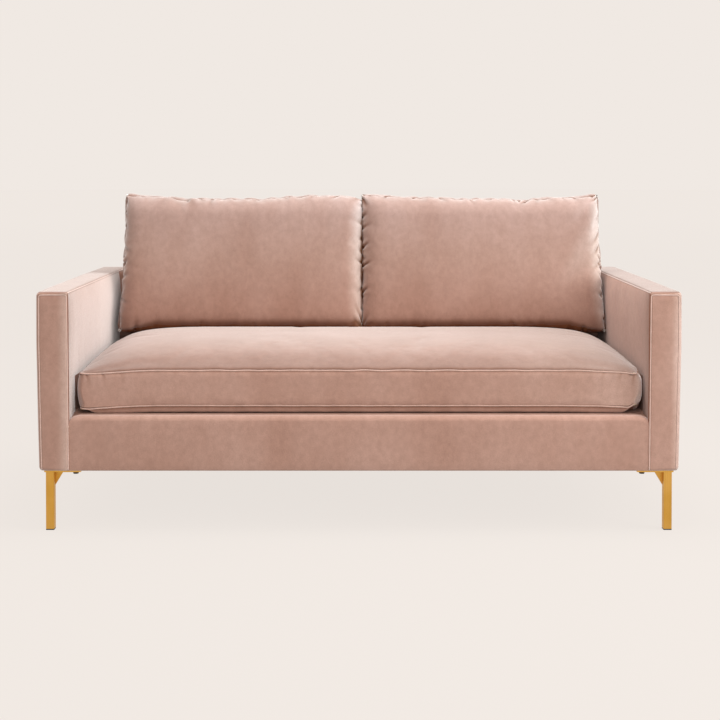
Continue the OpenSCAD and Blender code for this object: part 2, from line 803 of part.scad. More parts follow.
module arm_bolts() {
    color(steel) for (side = [-1, 1]) on_side(side) for (p = arm_bolts_at)
        translate([arm_in - board_t, p.x, p.y]) rotate([0, 90, 0]) flanged_bolt(arm_bolt_l);
}

module threaded_insert() {
    difference() {
        cylinder(d = insert_d, h = insert_l);
        translate([0, 0, -cut]) cylinder(d = bolt_d + 2 * fit_gap, h = insert_l + 2 * cut);
    }
}

module threaded_inserts() {
    color(steel) {
        at_corners() for (p = leg_bolts_at)
            translate([p.x, p.y, frame_z]) threaded_insert();
        for (side = [-1, 1]) on_side(side) for (p = arm_bolts_at)
            translate([arm_wood_x, p.x, p.y]) rotate([0, 90, 0]) threaded_insert();
    }
}

module frame_screws() {
    color(steel) {
        base_screws(false);
        rib_screws(false);
    }
}

// Cushions

// A zip lies in the flat boxing of its cushion. Its frame: x along, y across, z outwards.
module zip_tape(l) {
    color(deck_cloth) block([-l / 2, -zip_w / 2, -zip_t], [l / 2, zip_w / 2, 0]);
}

module zip_slider(l) {
    x = l / 2 - slider_l;
    color(brass) translate([x, 0, soft_gap]) {
        block([-slider_l / 2, -slider_w / 2, 0], [slider_l / 2, slider_w / 2, slider_t - pull_t]);
        block([-slider_l / 2 - pull_l, -pull_w / 2, slider_t - pull_t],
              [slider_l / 2, pull_w / 2, slider_t]);
    }
}

seat_zip_l = seat_w - 2 * (seat_corner_r + zip_end);
pillow_zip_l = pillow_w - 2 * (pillow_corner_r + zip_end);

module at_seat_zip() {
    translate([0, seat_rear_y, seat_mid_z]) rotate([-90, 0, 0]) children();
}

// In the frame of a back cushion, on the rear half of its lower boxing
module at_pillow_zip() {
    translate([0, -pillow_h / 2, -zip_rear_shift]) rotate([90, 0, 0]) children();
}

module zip_recess(l) {
    block([-l / 2, -zip_w / 2, -zip_t], [l / 2, zip_w / 2, cut]);
}

module seat_cushion_cover() {
    color(velvet) difference() {
        seat_form(0);
        seat_form(ticking_t);
        at_seat_zip() zip_recess(seat_zip_l);
    }
}

module seat_cushion_core() {
    color(foam) seat_form(ticking_t + fill_gap);
}

module back_cushion_cover() {
    color(velvet) difference() {
        pillow_form(0);
        pillow_form(ticking_t);
        at_pillow_zip() zip_recess(pillow_zip_l);
    }
}

module back_cushion_fill() {
    color(foam) pillow_form(ticking_t + fill_gap);
}

on_side(-1) arm_post(-1);  // arm_front_post_left
on_side(1) arm_post(-1);  // arm_front_post_right
on_side(-1) arm_post(1);  // arm_rear_post_left
on_side(1) arm_post(1);  // arm_rear_post_right
on_side(-1) arm_bottom_rail();  // arm_bottom_rail_left
on_side(1) arm_bottom_rail();  // arm_bottom_rail_right
on_side(-1) arm_top_rail();  // arm_top_rail_left
on_side(1) arm_top_rail();  // arm_top_rail_right
on_side(-1) arm_lining(arm_lining_x);  // arm_inner_lining_left
on_side(1) arm_lining(arm_lining_x);  // arm_inner_lining_right
on_side(-1) arm_lining(arm_wood_out_x);  // arm_outer_lining_left
on_side(1) arm_lining(arm_wood_out_x);  // arm_outer_lining_right
on_side(-1) arm_foam();  // arm_foam_left
on_side(1) arm_foam();  // arm_foam_right
on_side(-1) arm_cover();  // arm_cover_left
on_side(1) arm_cover();  // arm_cover_right
back_bottom_rail();
back_top_rail();
back_ribs();
back_webbing();
back_lining();
back_foam();
back_cover();
front_rail();
rear_rail();
on_side(-1) side_rail();  // side_rail_left
on_side(1) side_rail();  // side_rail_right
seat_stretchers();
corner_blocks();
seat_springs();
spring_clips();
spring_tie_wires();
deck_pad();
deck_cover();
front_rail_foam();
front_rail_cover();
dust_cover();
on_side(-1) at_end(-1) leg();  // leg_front_left
on_side(1) at_end(-1) leg();  // leg_front_right
on_side(-1) at_end(1) leg();  // leg_rear_left
on_side(1) at_end(1) leg();  // leg_rear_right
leg_feet();
leg_bolts();
arm_bolts();
threaded_inserts();
frame_screws();
seat_cushion_cover();
seat_cushion_core();
at_seat_zip() zip_tape(seat_zip_l);  // seat_zip_tape
at_seat_zip() zip_slider(seat_zip_l);  // seat_zip_slider
in_pillow(-1) back_cushion_cover();  // back_cushion_cover_left
in_pillow(1) back_cushion_cover();  // back_cushion_cover_right
in_pillow(-1) back_cushion_fill();  // back_cushion_fill_left
in_pillow(1) back_cushion_fill();  // back_cushion_fill_right
in_pillow(-1) at_pillow_zip() zip_tape(pillow_zip_l);  // back_zip_tape_left
in_pillow(1) at_pillow_zip() zip_tape(pillow_zip_l);  // back_zip_tape_right
in_pillow(-1) at_pillow_zip() zip_slider(pillow_zip_l);  // back_zip_slider_left
in_pillow(1) at_pillow_zip() zip_slider(pillow_zip_l);  // back_zip_slider_right
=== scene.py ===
import json
import math
import random

import bpy
import numpy as np
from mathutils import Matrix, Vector, noise
from mathutils.bvhtree import BVHTree

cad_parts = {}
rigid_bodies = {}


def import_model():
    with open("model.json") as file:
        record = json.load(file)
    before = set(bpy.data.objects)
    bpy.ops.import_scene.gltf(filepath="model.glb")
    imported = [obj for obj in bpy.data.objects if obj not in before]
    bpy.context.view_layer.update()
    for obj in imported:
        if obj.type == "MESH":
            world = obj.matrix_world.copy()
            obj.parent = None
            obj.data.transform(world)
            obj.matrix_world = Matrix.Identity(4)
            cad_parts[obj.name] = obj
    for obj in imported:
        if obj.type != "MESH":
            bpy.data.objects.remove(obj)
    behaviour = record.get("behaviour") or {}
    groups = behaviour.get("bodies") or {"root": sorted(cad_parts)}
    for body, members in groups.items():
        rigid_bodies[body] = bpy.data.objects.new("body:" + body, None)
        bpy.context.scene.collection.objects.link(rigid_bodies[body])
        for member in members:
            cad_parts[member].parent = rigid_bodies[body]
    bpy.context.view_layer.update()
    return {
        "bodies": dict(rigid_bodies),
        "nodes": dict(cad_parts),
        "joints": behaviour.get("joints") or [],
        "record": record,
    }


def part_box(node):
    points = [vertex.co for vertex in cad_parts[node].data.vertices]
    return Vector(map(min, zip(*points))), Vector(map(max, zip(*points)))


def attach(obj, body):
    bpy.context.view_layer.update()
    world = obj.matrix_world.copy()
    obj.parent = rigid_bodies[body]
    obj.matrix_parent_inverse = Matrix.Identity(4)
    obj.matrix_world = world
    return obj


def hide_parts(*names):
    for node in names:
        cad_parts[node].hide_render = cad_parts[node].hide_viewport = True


# Two-seat tuxedo sofa in dusty pink velvet. Metres, +Z up, the front faces -Y.
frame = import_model()
cadNodes = frame["nodes"]
scene = bpy.context.scene
print("frame loaded with", len(cadNodes), "pieces")


# Camera at the photograph's height and distance, a little above the arms
camera = {
    "place": (0.0, -3.91, 0.969),
    "pitch": 1.0,             # degrees below the horizon
    "focalPixels": 1298,      # for a picture 720 pixels wide
    "pictureWidth": 720,
    "sensor": 36.0,
    "shiftX": 0.0016,
    "shiftY": -0.2333,
}


def placeCamera():
    lens = bpy.data.cameras.new("photoCamera")
    lens.sensor_width = camera["sensor"]
    lens.lens = camera["sensor"] * camera["focalPixels"] / camera["pictureWidth"]
    lens.shift_x = camera["shiftX"]
    lens.shift_y = camera["shiftY"]
    lens.clip_end = 200
    eye = bpy.data.objects.new("photoCamera", lens)
    eye.location = camera["place"]
    eye.rotation_euler = (math.radians(90 - camera["pitch"]), 0, 0)
    scene.collection.objects.link(eye)
    scene.camera = eye


# Plain pale studio: a large floor, an even sky of the same colour and soft lamps
studio = {
    "paleTone": (0.871, 0.814, 0.768),
    "skyStrength": 1.14,
    "floorRadius": 60.0,
    "floorAlbedo": 0.06,
    "floorGlow": 0.915,
    "farGlow": 0.935,
    "farRange": (4.0, 22.0),
    "bounceGlow": 0.54,       # what the floor throws back up at the sofa
    "bounceDrop": 0.002,      # how far the unseen floor lies below the seen one
    "floorCorners": 96,
    "domeRadius": 70.0,
    "domeRings": (48, 24),
    "lamps": [
        # name, place, target, width, watts, tint
        ("keyLamp", (3.3, -1.25, 1.65), (-0.4, 0.0, 0.45), 2.4, 88, (1.0, 0.985, 0.97)),
        ("topLamp", (0.3, -0.2, 3.2), (0.0, 0.0, 0.6), 1.8, 55, (1.0, 0.985, 0.97)),
        ("frontLamp", (0.8, -4.6, 1.6), (0.0, 0.0, 0.4), 2.5, 45, (1.0, 0.985, 0.97)),
    ],
}


def glowPaint(name, tone, strength, albedo, farStrength=None):
    paint = bpy.data.materials.new(name)
    paint.use_nodes = True
    surface = paint.node_tree.nodes["Principled BSDF"]
    surface.inputs["Base Color"].default_value = (*[c * albedo for c in tone], 1)
    surface.inputs["Roughness"].default_value = 1.0
    surface.inputs["Specular IOR Level"].default_value = 0.0
    surface.inputs["Emission Color"].default_value = (*tone, 1)
    surface.inputs["Emission Strength"].default_value = strength
    if farStrength:
        # the floor glows a little more far away, where the lamps don't reach it
        nodes, links = paint.node_tree.nodes, paint.node_tree.links
        where, length = nodes.new("ShaderNodeTexCoord"), nodes.new("ShaderNodeVectorMath")
        length.operation = "LENGTH"
        links.new(where.outputs["Object"], length.inputs[0])
        glow = nodes.new("ShaderNodeMapRange")
        for socket, value in zip(("From Min", "From Max", "To Min", "To Max"),
                                 (*studio["farRange"], strength, farStrength)):
            glow.inputs[socket].default_value = value
        links.new(length.outputs["Value"], glow.inputs["Value"])
        links.new(glow.outputs["Result"], surface.inputs["Emission Strength"])
    return paint


def buildStudio():
    sky = bpy.data.worlds.new("paleSky")
    sky.use_nodes = True
    background = sky.node_tree.nodes["Background"]
    background.inputs["Color"].default_value = (*studio["paleTone"], 1)
    background.inputs["Strength"].default_value = studio["skyStrength"]
    scene.world = sky
    # One floor is seen by the camera and the other, just below it, lights the sofa
    for name, height, glow, albedo, farGlow in (
            ("floor", 0.0, studio["floorGlow"], studio["floorAlbedo"], studio["farGlow"]),
            ("bounceFloor", -studio["bounceDrop"], studio["bounceGlow"], 0.0, None)):
        bpy.ops.mesh.primitive_circle_add(vertices=studio["floorCorners"],
                                          radius=studio["floorRadius"],
                                          fill_type="NGON", location=(0, 0, height))
        floor = bpy.context.object
        floor.name = name
        floor.data.materials.append(
            glowPaint(name + "Paint", studio["paleTone"], glow, albedo, farGlow))
        seen = name == "floor"
        floor.visible_camera = seen
        floor.visible_diffuse = not seen
        floor.visible_glossy = seen
    # The backdrop is only seen: it neither lights the sofa nor hides the sky's light
    segments, rings = studio["domeRings"]
    bpy.ops.mesh.primitive_uv_sphere_add(segments=segments, ring_count=rings,
                                         radius=studio["domeRadius"])
    dome = bpy.context.object
    dome.name = "backdrop"
    dome.data.materials.append(glowPaint("paleBackdrop", studio["paleTone"], 1.0, 0.0))
    dome.visible_diffuse = dome.visible_glossy = dome.visible_shadow = False
    dome.visible_transmission = False
    for name, place, target, width, watts, tint in studio["lamps"]:
        lamp = bpy.data.lights.new(name, "AREA")
        lamp.shape = "DISK"
        lamp.size = width
        lamp.energy = watts
        lamp.color = tint
        stand = bpy.data.objects.new(name, lamp)
        stand.location = place
        aim = Vector(target) - Vector(place)
        stand.rotation_euler = aim.to_track_quat("-Z", "Y").to_euler()
        scene.collection.objects.link(stand)
    scene.view_settings.view_transform = "Standard"
    scene.view_settings.look = "None"


# Mesh work that all the soft pieces share
seedSteps = (3.7, 1.9, 5.3)   # how far a seed's number moves the noise along each axis
slantedWay = (0.31, 0.52, 0.79)  # lies along no path of a tube
closestLines = 0.0004
sharpCorner = math.radians(35)
stitchForm = {
    "places": np.array([-0.5, -0.25, 0.25, 0.5]),  # shares of its length
    "thickness": np.array([0.4, 1, 1, 0.4]),
    "sides": 5,
}


def addPiece(name, points, faces, paint, body, slot):
    mesh = bpy.data.meshes.new(name)
    mesh.from_pydata([tuple(map(float, p)) for p in points], [], faces)
    mesh.polygons.foreach_set("use_smooth", [True] * len(mesh.polygons))
    mesh.materials.append(paint)
    piece = bpy.data.objects.new(name, mesh)
    scene.collection.objects.link(piece)
    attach(piece, body)
    return piece


def joinParts(parts):
    points, faces = [], []
    for partPoints, partFaces in parts:
        start = len(points)
        points.extend(partPoints)
        faces.extend([start + i for i in face] for face in partFaces)
    return points, faces


def unit(vectors):
    return vectors / np.linalg.norm(vectors, axis=-1, keepdims=True)


def smoothStep(values, start, end):
    share = np.clip((values - start) / (end - start), 0, 1)
    return share * share * (3 - 2 * share)


def ripple(points, size, seed):
    shift = Vector([seed * step for step in seedSteps])
    return np.array([noise.noise(Vector(p) / size + shift) for p in points])


def tube(path, radius, sides=6, closed=False):
    path = np.asarray(path, float)
    count = len(path)
    if closed:
        ahead = unit(np.roll(path, -1, 0) - np.roll(path, 1, 0))
    else:
        ahead = unit(np.gradient(path, axis=0))
    across = unit(np.cross(ahead[0], slantedWay))
    turns = 2 * math.pi * np.arange(sides) / sides
    points = []
    for place, way, r in zip(path, ahead, np.broadcast_to(radius, count)):
        across = unit(across - way * (across @ way))
        points.extend(place + r * (np.outer(np.cos(turns), across)
                                   + np.outer(np.sin(turns), np.cross(way, across))))
    faces = []
    for i in range(count if closed else count - 1):
        j = (i + 1) % count
        for k in range(sides):
            m = (k + 1) % sides
            faces.append([i * sides + k, i * sides + m, j * sides + m, j * sides + k])
    if not closed:
        faces.append(list(reversed(range(sides))))
        faces.append([(count - 1) * sides + k for k in range(sides)])
    return points, faces


def pathRun(path):
    steps = np.linalg.norm(np.diff(path, axis=0), axis=1)
    return np.concatenate([[0], np.cumsum(steps)])


def alongPath(path, places):
    run = pathRun(path)
    return np.stack([np.interp(places, run, path[:, k]) for k in range(3)], 1)


def evenPath(corners, step, cornerCut=0.0):
    # evenly spaced points along straight lines, with their corners cut short
    corners = [np.array(c, float) for c in corners]
    bent = [corners[0]]
    for before, here, after in zip(corners, corners[1:], corners[2:]):
        if cornerCut:
            for share in (0, 0.25, 0.5, 0.75, 1):
                start = here + unit(before - here) * cornerCut
                end = here + unit(after - here) * cornerCut
                bent.append((1 - share) ** 2 * start + 2 * share * (1 - share) * here
                            + share ** 2 * end)
        else:
            bent.append(here)
    bent.append(corners[-1])
    path = np.array(bent)
    total = pathRun(path)[-1]
    return alongPath(path, np.linspace(0, total, max(2, round(total / step) + 1)))


def stitchRow(path, pitch, length, radius):
    # a row of short stitches, each a small spindle
    total = pathRun(path)[-1]
    parts = []
    for middle in np.arange(pitch / 2, total - length / 2, pitch):
        places = middle + length * stitchForm["places"]
        parts.append(tube(alongPath(path, places), radius * stitchForm["thickness"],
                          stitchForm["sides"]))
    return joinParts(parts)


def gridLines(low, high, edge, step, extra=()):
    # lines across a box, closer together round its edges
    bends = [edge * (1 - math.tan(math.radians(a))) for a in (45, 36, 27, 18, 9)]
    count = max(1, round((high - low - 2 * edge) / step))
    lines = sorted([low + b for b in bends] + list(np.linspace(low + edge, high - edge, count + 1))
                   + [high - b for b in bends] + list(extra))
    kept = [lines[0]]
    for value in lines[1:]:
        if value - kept[-1] > closestLines:
            kept.append(value)
    return kept


def boxSkin(xs, ys, zs, skip=None):
    # the outside of a box of grid lines: its points, its quads and the side of each quad
    lines = (xs, ys, zs)
    number, points, quads, sides = {}, [], [], []

    def corner(index):
        if index not in number:
            number[index] = len(points)
            points.append([lines[a][index[a]] for a in range(3)])
        return number[index]

    for axis in range(3):
        a, b = (axis + 1) % 3, (axis + 2) % 3
        for end in (0, 1):
            place = [0, 0, 0]
            place[axis] = (len(lines[axis]) - 1) * end
            for i in range(len(lines[a]) - 1):
                for j in range(len(lines[b]) - 1):
                    ring = [(i, j), (i + 1, j), (i + 1, j + 1), (i, j + 1)]
                    middle = [0, 0, 0]
                    middle[axis] = lines[axis][place[axis]]
                    middle[a] = (lines[a][i] + lines[a][i + 1]) / 2
                    middle[b] = (lines[b][j] + lines[b][j + 1]) / 2
                    side = 2 * axis + end
                    if skip and skip(side, middle):
                        continue
                    quad = []
                    for m, n in (ring if end else reversed(ring)):
                        place[a], place[b] = m, n
                        quad.append(corner(tuple(place)))
                    quads.append(quad)
                    sides.append(side)
    return np.array(points), quads, np.array(sides)


def roundEdges(points, low, high, radius):
    r = np.broadcast_to(radius, len(points))[:, None]
    inner = np.clip(points, low + r, high - r)
    normal = unit(points - inner)
    return inner + normal * r, normal


def distanceTo(points, path):
    best = np.full(len(points), 1e9)
    for start, end in zip(path[:-1], path[1:]):
        along = end - start
        share = np.clip(((points - start) @ along) / (along @ along), 0, 1)
        away = points - (start + share[:, None] * along)
        best = np.minimum(best, np.linalg.norm(away, axis=1))
    return best


def meshNormals(points, quads):
    a, b, c, d = (points[[q[k] for q in quads]] for k in range(4))
    face = np.cross(c - a, d - b)
    total = np.zeros_like(points)
    for k in range(4):
        np.add.at(total, [q[k] for q in quads], face)
    return unit(total)


def bevelled(piece, width, segments=2):
    bevel = piece.modifiers.new("softEdges", "BEVEL")
    bevel.width = width
    bevel.segments = segments
    bevel.limit_method = "ANGLE"
    bevel.angle_limit = sharpCorner
    bevel.harden_normals = True


def thickened(piece, thickness):
    wall = piece.modifiers.new("clothThickness", "SOLIDIFY")
    wall.thickness = thickness
    wall.offset = -1


def smoothed(piece):
    finer = piece.modifiers.new("finerMesh", "SUBSURF")
    finer.levels = finer.render_levels = 1


# Materials

def newPaint(name, tone, roughness, **sockets):
    paint = bpy.data.materials.new(name)
    paint.use_nodes = True
    surface = paint.node_tree.nodes["Principled BSDF"]
    surface.inputs["Base Color"].default_value = (*tone, 1)
    surface.inputs["Roughness"].default_value = roughness
    for socket, value in sockets.items():
        surface.inputs[socket.replace("_", " ")].default_value = value
    return paint


def addNoise(paint, scale, detail, stretch=(1, 1, 1), roughness=0.5):
    nodes, links = paint.node_tree.nodes, paint.node_tree.links
    where = nodes.new("ShaderNodeTexCoord")
    mapping = nodes.new("ShaderNodeMapping")
    mapping.inputs["Scale"].default_value = stretch
    texture = nodes.new("ShaderNodeTexNoise")
    texture.inputs["Scale"].default_value = scale
    texture.inputs["Detail"].default_value = detail
    texture.inputs["Roughness"].default_value = roughness
    links.new(where.outputs["Object"], mapping.inputs["Vector"])
    links.new(mapping.outputs["Vector"], texture.inputs["Vector"])
    return texture.outputs["Fac"]


def addRamp(paint, factor, stops):
    nodes, links = paint.node_tree.nodes, paint.node_tree.links
    ramp = nodes.new("ShaderNodeValToRGB")
    band = ramp.color_ramp
    while len(band.elements) < len(stops):
        band.elements.new(0.5)
    for element, (place, tone) in zip(band.elements, stops):
        element.position = place
        element.color = (*tone, 1)
    links.new(factor, ramp.inputs["Fac"])
    return ramp.outputs["Color"]


def mixTones(paint, factor, first, second, blend="MIX"):
    nodes, links = paint.node_tree.nodes, paint.node_tree.links
    mix = nodes.new("ShaderNodeMix")
    mix.data_type = "RGBA"
    mix.blend_type = blend
    for socket, value in ((mix.inputs[0], factor), (mix.inputs[6], first), (mix.inputs[7], second)):
        if isinstance(value, bpy.types.NodeSocket):
            links.new(value, socket)
        else:
            socket.default_value = value if isinstance(value, float) else (*value, 1)
    return mix.outputs[2]


def addBump(paint, heights):
    # heights are (socket, distance in metres) from the coarsest to the finest
    nodes, links = paint.node_tree.nodes, paint.node_tree.links
    last = None
    for height, distance in heights:
        bump = nodes.new("ShaderNodeBump")
        bump.inputs["Strength"].default_value = 1.0
        bump.inputs["Distance"].default_value = distance
        links.new(height, bump.inputs["Height"])
        if last:
            links.new(last, bump.inputs["Normal"])
        last = bump.outputs["Normal"]
    links.new(last, nodes["Principled BSDF"].inputs["Normal"])


def setBase(paint, socket):
    surface = paint.node_tree.nodes["Principled BSDF"]
    paint.node_tree.links.new(socket, surface.inputs["Base Color"])


velvet = {
    "tone": (0.413, 0.246, 0.192),
    "lightTone": (0.446, 0.275, 0.220),
    "darkTone": (0.379, 0.217, 0.165),
    # painted highlight: the pale tone mixed in along seams and on lit sides
    "highlightTone": (0.640, 0.450, 0.385),
    "cloudScale": 7.0,        # hand marks in the pile, about 0.1 m
    "napScale": 62.0,
    "pileScale": 900.0,
    "sheen": 1.0,
    "sheenRoughness": 0.47,
    "sheenTint": (1.0, 1.0, 1.0, 1.0),
    "roughness": 0.88,
    "specular": 0.12,
    # tones multiplied in by the mesh's marks: painted shade in creases and painted highlight on
    # ridges and lit sides
    "crease": (0.42, 0.25, 0.14),
    "ridge": (1.50, 1.93, 2.15),
    "clouds": ((0.30, "darkTone"), (0.52, "tone"), (0.74, "lightTone")),
    "nap": [(0.34, (0.93, 0.925, 0.92)), (0.66, (1.055, 1.06, 1.065))],
    "napStretch": (1.0, 1.0, 0.8),
    "napRoughness": 0.6,
    "grain": [(0.3, (0.86, 0.85, 0.85)), (0.7, (1.12, 1.12, 1.12))],
    "bumps": (0.003, 0.0002, 0.0003),  # of the clouds, the nap and the pile
}


def scaled(tone, share):
    return tuple(c * share for c in tone)


def addRise(paint, stops):
    # a tone that changes with height: stops are (height, tone), from the lowest up
    nodes, links = paint.node_tree.nodes, paint.node_tree.links
    where, parts = nodes.new("ShaderNodeTexCoord"), nodes.new("ShaderNodeSeparateXYZ")
    links.new(where.outputs["Object"], parts.inputs["Vector"])
    share = nodes.new("ShaderNodeMapRange")
    low, high = stops[0][0], stops[-1][0]
    share.inputs["From Min"].default_value = low
    share.inputs["From Max"].default_value = high
    links.new(parts.outputs["Z"], share.inputs["Value"])
    return addRamp(paint, share.outputs["Result"],
                   [((z - low) / (high - low), tone) for z, tone in stops])


# lightness, a share of the painted highlight tone and rise give lit and shaded copies of the
# velvet: painted light and shade
def velvetPaint(name, lightness=1.0, sheen=1.0, paintedHighlight=0.0, stretch=(1.0, 1.0, 0.55), rise=None):
    paint = newPaint(
        name, velvet["tone"], velvet["roughness"],
        Sheen_Weight=velvet["sheen"] * sheen, Sheen_Roughness=velvet["sheenRoughness"],
        Sheen_Tint=velvet["sheenTint"], Specular_IOR_Level=velvet["specular"])
    clouds = addNoise(paint, velvet["cloudScale"], 3.0, stretch)
    base = addRamp(paint, clouds, [
        (place, tuple((1 - paintedHighlight) * lightness * c + paintedHighlight * f
                      for c, f in zip(velvet[tone], velvet["highlightTone"])))
        for place, tone in velvet["clouds"]])
    nap = addNoise(paint, velvet["napScale"], 4.0, velvet["napStretch"], velvet["napRoughness"])
    streaks = addRamp(paint, nap, velvet["nap"])
    pile = addNoise(paint, velvet["pileScale"], 2.0)
    grain = addRamp(paint, pile, velvet["grain"])
    base = mixTones(paint, 1.0, base, streaks, "MULTIPLY")
    base = mixTones(paint, 1.0, base, grain, "MULTIPLY")
    if rise:
        base = mixTones(paint, 1.0, base, addRise(paint, rise), "MULTIPLY")
    # painted shade in creases, beside seams and where covers meet, and painted highlight along the
    # ridges beside them and on lit sides
    for mark in ("crease", "ridge"):
        attribute = paint.node_tree.nodes.new("ShaderNodeAttribute")
        attribute.attribute_name = mark
        base = mixTones(paint, attribute.outputs["Fac"], base, velvet[mark], "MULTIPLY")
    setBase(paint, base)
    addBump(paint, list(zip((clouds, nap, pile), velvet["bumps"])))
    return paint


def clothPaint(name, tone, weaveScale=1400.0):
    paint = newPaint(name, tone, 0.9, Sheen_Weight=0.15, Specular_IOR_Level=0.2)
    nodes, links = paint.node_tree.nodes, paint.node_tree.links
    heights = []
    for direction in ("X", "Y"):
        wave = nodes.new("ShaderNodeTexWave")
        wave.bands_direction = direction
        wave.inputs["Scale"].default_value = weaveScale / 6
        wave.inputs["Distortion"].default_value = 0.6
        where = nodes.new("ShaderNodeTexCoord")
        links.new(where.outputs["Object"], wave.inputs["Vector"])
        heights.append((wave.outputs["Fac"], 0.0002))
    clouds = addNoise(paint, 30.0, 3.0)
    setBase(paint, addRamp(paint, clouds, [(0.3, scaled(tone, 0.88)), (0.7, scaled(tone, 1.08))]))
    addBump(paint, heights)
    return paint


def speckledPaint(name, tone, scale, contrast, roughness, bump, **sockets):
    paint = newPaint(name, tone, roughness, **sockets)
    grain = addNoise(paint, scale, 4.0)
    setBase(paint, addRamp(paint, grain, [
        (0.3, scaled(tone, 1 - contrast)), (0.7, scaled(tone, 1 + contrast))]))
    addBump(paint, [(grain, bump)])
    return paint


def woodPaint(name, tone, along):
    # the grain is drawn out along the board
    stretch = [22.0, 22.0, 22.0]
    stretch[along] = 1.2
    paint = newPaint(name, tone, 0.62, Specular_IOR_Level=0.35)
    rings = addNoise(paint, 1.0, 5.0, stretch, 0.62)
    pores = addNoise(paint, 6.0, 3.0, stretch)
    base = addRamp(paint, rings, [
        (0.28, scaled(tone, 0.62)), (0.46, scaled(tone, 0.92)),
        (0.56, tone), (0.72, scaled(tone, 1.12))])
    base = mixTones(paint, 1.0, base, addRamp(
        paint, pores, [(0.35, (0.82, 0.8, 0.78)), (0.6, (1, 1, 1))]), "MULTIPLY")
    setBase(paint, base)
    addBump(paint, [(rings, 0.0006), (pores, 0.0002)])
    return paint


brass = {
    "tone": (0.62, 0.335, 0.062),
    "wornTone": (0.72, 0.41, 0.105),
    "roughness": 0.34,
    "brushScale": 260.0,
}


def brassPaint():
    paint = newPaint("satinBrass", brass["tone"], brass["roughness"],
                     Metallic=1.0, Anisotropic=0.45)
    nodes, links = paint.node_tree.nodes, paint.node_tree.links
    brush = addNoise(paint, brass["brushScale"], 3.0, (1.0, 1.0, 0.02))
    clouds = addNoise(paint, 14.0, 2.0)
    base = addRamp(paint, clouds, [(0.35, brass["tone"]), (0.75, brass["wornTone"])])
    streaks = addRamp(paint, brush, [(0.3, (0.92, 0.92, 0.92)), (0.7, (1.05, 1.05, 1.05))])
    setBase(paint, mixTones(paint, 1.0, base, streaks, "MULTIPLY"))
    rough = nodes.new("ShaderNodeMapRange")
    rough.inputs["To Min"].default_value = brass["roughness"] - 0.06
    rough.inputs["To Max"].default_value = brass["roughness"] + 0.10
    links.new(brush, rough.inputs["Value"])
    links.new(rough.outputs["Result"], nodes["Principled BSDF"].inputs["Roughness"])
    addBump(paint, [(brush, 0.00006)])
    return paint


placeCamera()
buildStudio()
print("camera and studio stand")

velvetCloth = velvetPaint("pinkVelvet")
# painted highlight: pale copies for the raised seams and the piping
velvetFoldHighlight = velvetPaint("pinkVelvetFoldHighlight", paintedHighlight=0.5)
velvetPipingHighlight = velvetPaint("pinkVelvetPipingHighlight", paintedHighlight=1.0)
# painted shade: a dark copy with little sheen for the line below the seat cushion's seams
velvetCreaseShade = velvetPaint("pinkVelvetCreaseShade", lightness=0.45, sheen=0.2)
# painted shade: a darker copy with less sheen for the right arm's inner side and the back's front
velvetShade = velvetPaint("pinkVelvetShade", lightness=1.14, sheen=0.3)
# painted shade: a darker copy with less sheen for the seat cushion's underside
velvetShadedUnder = velvetPaint("pinkVelvetShadedUnder", lightness=0.9, sheen=0.3)
# painted shade for the gaps where covers press together: a darker copy with almost no sheen
velvetGapShade = velvetPaint("pinkVelvetGapShade", lightness=0.86, sheen=0.02)
# painted shade: a darker copy for the strips beside seams and the lines below the back cushions'
# seams
velvetSeamShade = velvetPaint("pinkVelvetSeamShade", lightness=0.62, sheen=0.4)
# painted shade: darker copies with less sheen for the tops of the arms and the back, darkest on the
# right arm
velvetShadedTop = velvetPaint("pinkVelvetShadedTop", lightness=0.70, sheen=0.7)
velvetShadedTopRight = velvetPaint("pinkVelvetShadedTopRight", lightness=0.53, sheen=0.5)
# painted light: a paler copy for the left arm's inner side
velvetLitSide = velvetPaint("pinkVelvetLitSide", lightness=0.90, paintedHighlight=0.12)
# painted light and shade by height: paler towards the top of the back cushions, darker towards
# their foot, on their faces and boxing
pillowLightRise = [(0.46, (0.70, 0.64, 0.60)), (0.53, (0.78, 0.74, 0.72)), (0.70, (0.870, 0.935, 0.97)),
              (0.88, (0.90, 1.03, 1.15))]
velvetPillow = velvetPaint("pinkVelvetPillow", rise=pillowLightRise)
velvetBoxing = velvetPaint("pinkVelvetBoxing", lightness=0.9, sheen=0.6, rise=pillowLightRise)
# painted shade: a darker copy with less sheen for the seat cushion's top
velvetSeatShaded = velvetPaint("pinkVelvetSeatShaded", lightness=0.8, sheen=0.7, rise=[
    # painted shade: darker towards the front edge of the seat cushion, where its top rolls down
    (0.425, (0.65, 0.60, 0.57)), (0.452, (0.79, 0.765, 0.755)), (0.470, (0.93, 0.935, 0.945))])
zipCloth = clothPaint("zipCloth", (0.25, 0.145, 0.12), 2600.0)
stitchThread = speckledPaint("stitchThread", (0.56, 0.33, 0.27), 2600.0, 0.2, 0.7, 0.0001)
deckWeave = clothPaint("deckWeave", (0.36, 0.22, 0.18))
dustFelt = speckledPaint("dustFelt", (0.022, 0.019, 0.019), 1500.0, 0.5, 0.95, 0.0002)
webbingWeave = clothPaint("webbingWeave", (0.03, 0.027, 0.026), 2400.0)
foamCells = speckledPaint("foamCells", (0.80, 0.74, 0.52), 800.0, 0.18, 0.95, 0.0005)
fibreFill = speckledPaint("fibreFill", (0.86, 0.85, 0.82), 180.0, 0.06, 0.95, 0.002)
hardboardFibres = speckledPaint("hardboardFibres", (0.27, 0.155, 0.085), 520.0, 0.25, 0.75, 0.0002)
blackSteel = speckledPaint("blackSteel", (0.018, 0.017, 0.017), 700.0, 0.3, 0.42, 0.00005,
                           Metallic=0.85)
zincSteel = speckledPaint("zincSteel", (0.52, 0.52, 0.54), 420.0, 0.12, 0.36, 0.00004,
                          Metallic=1.0)
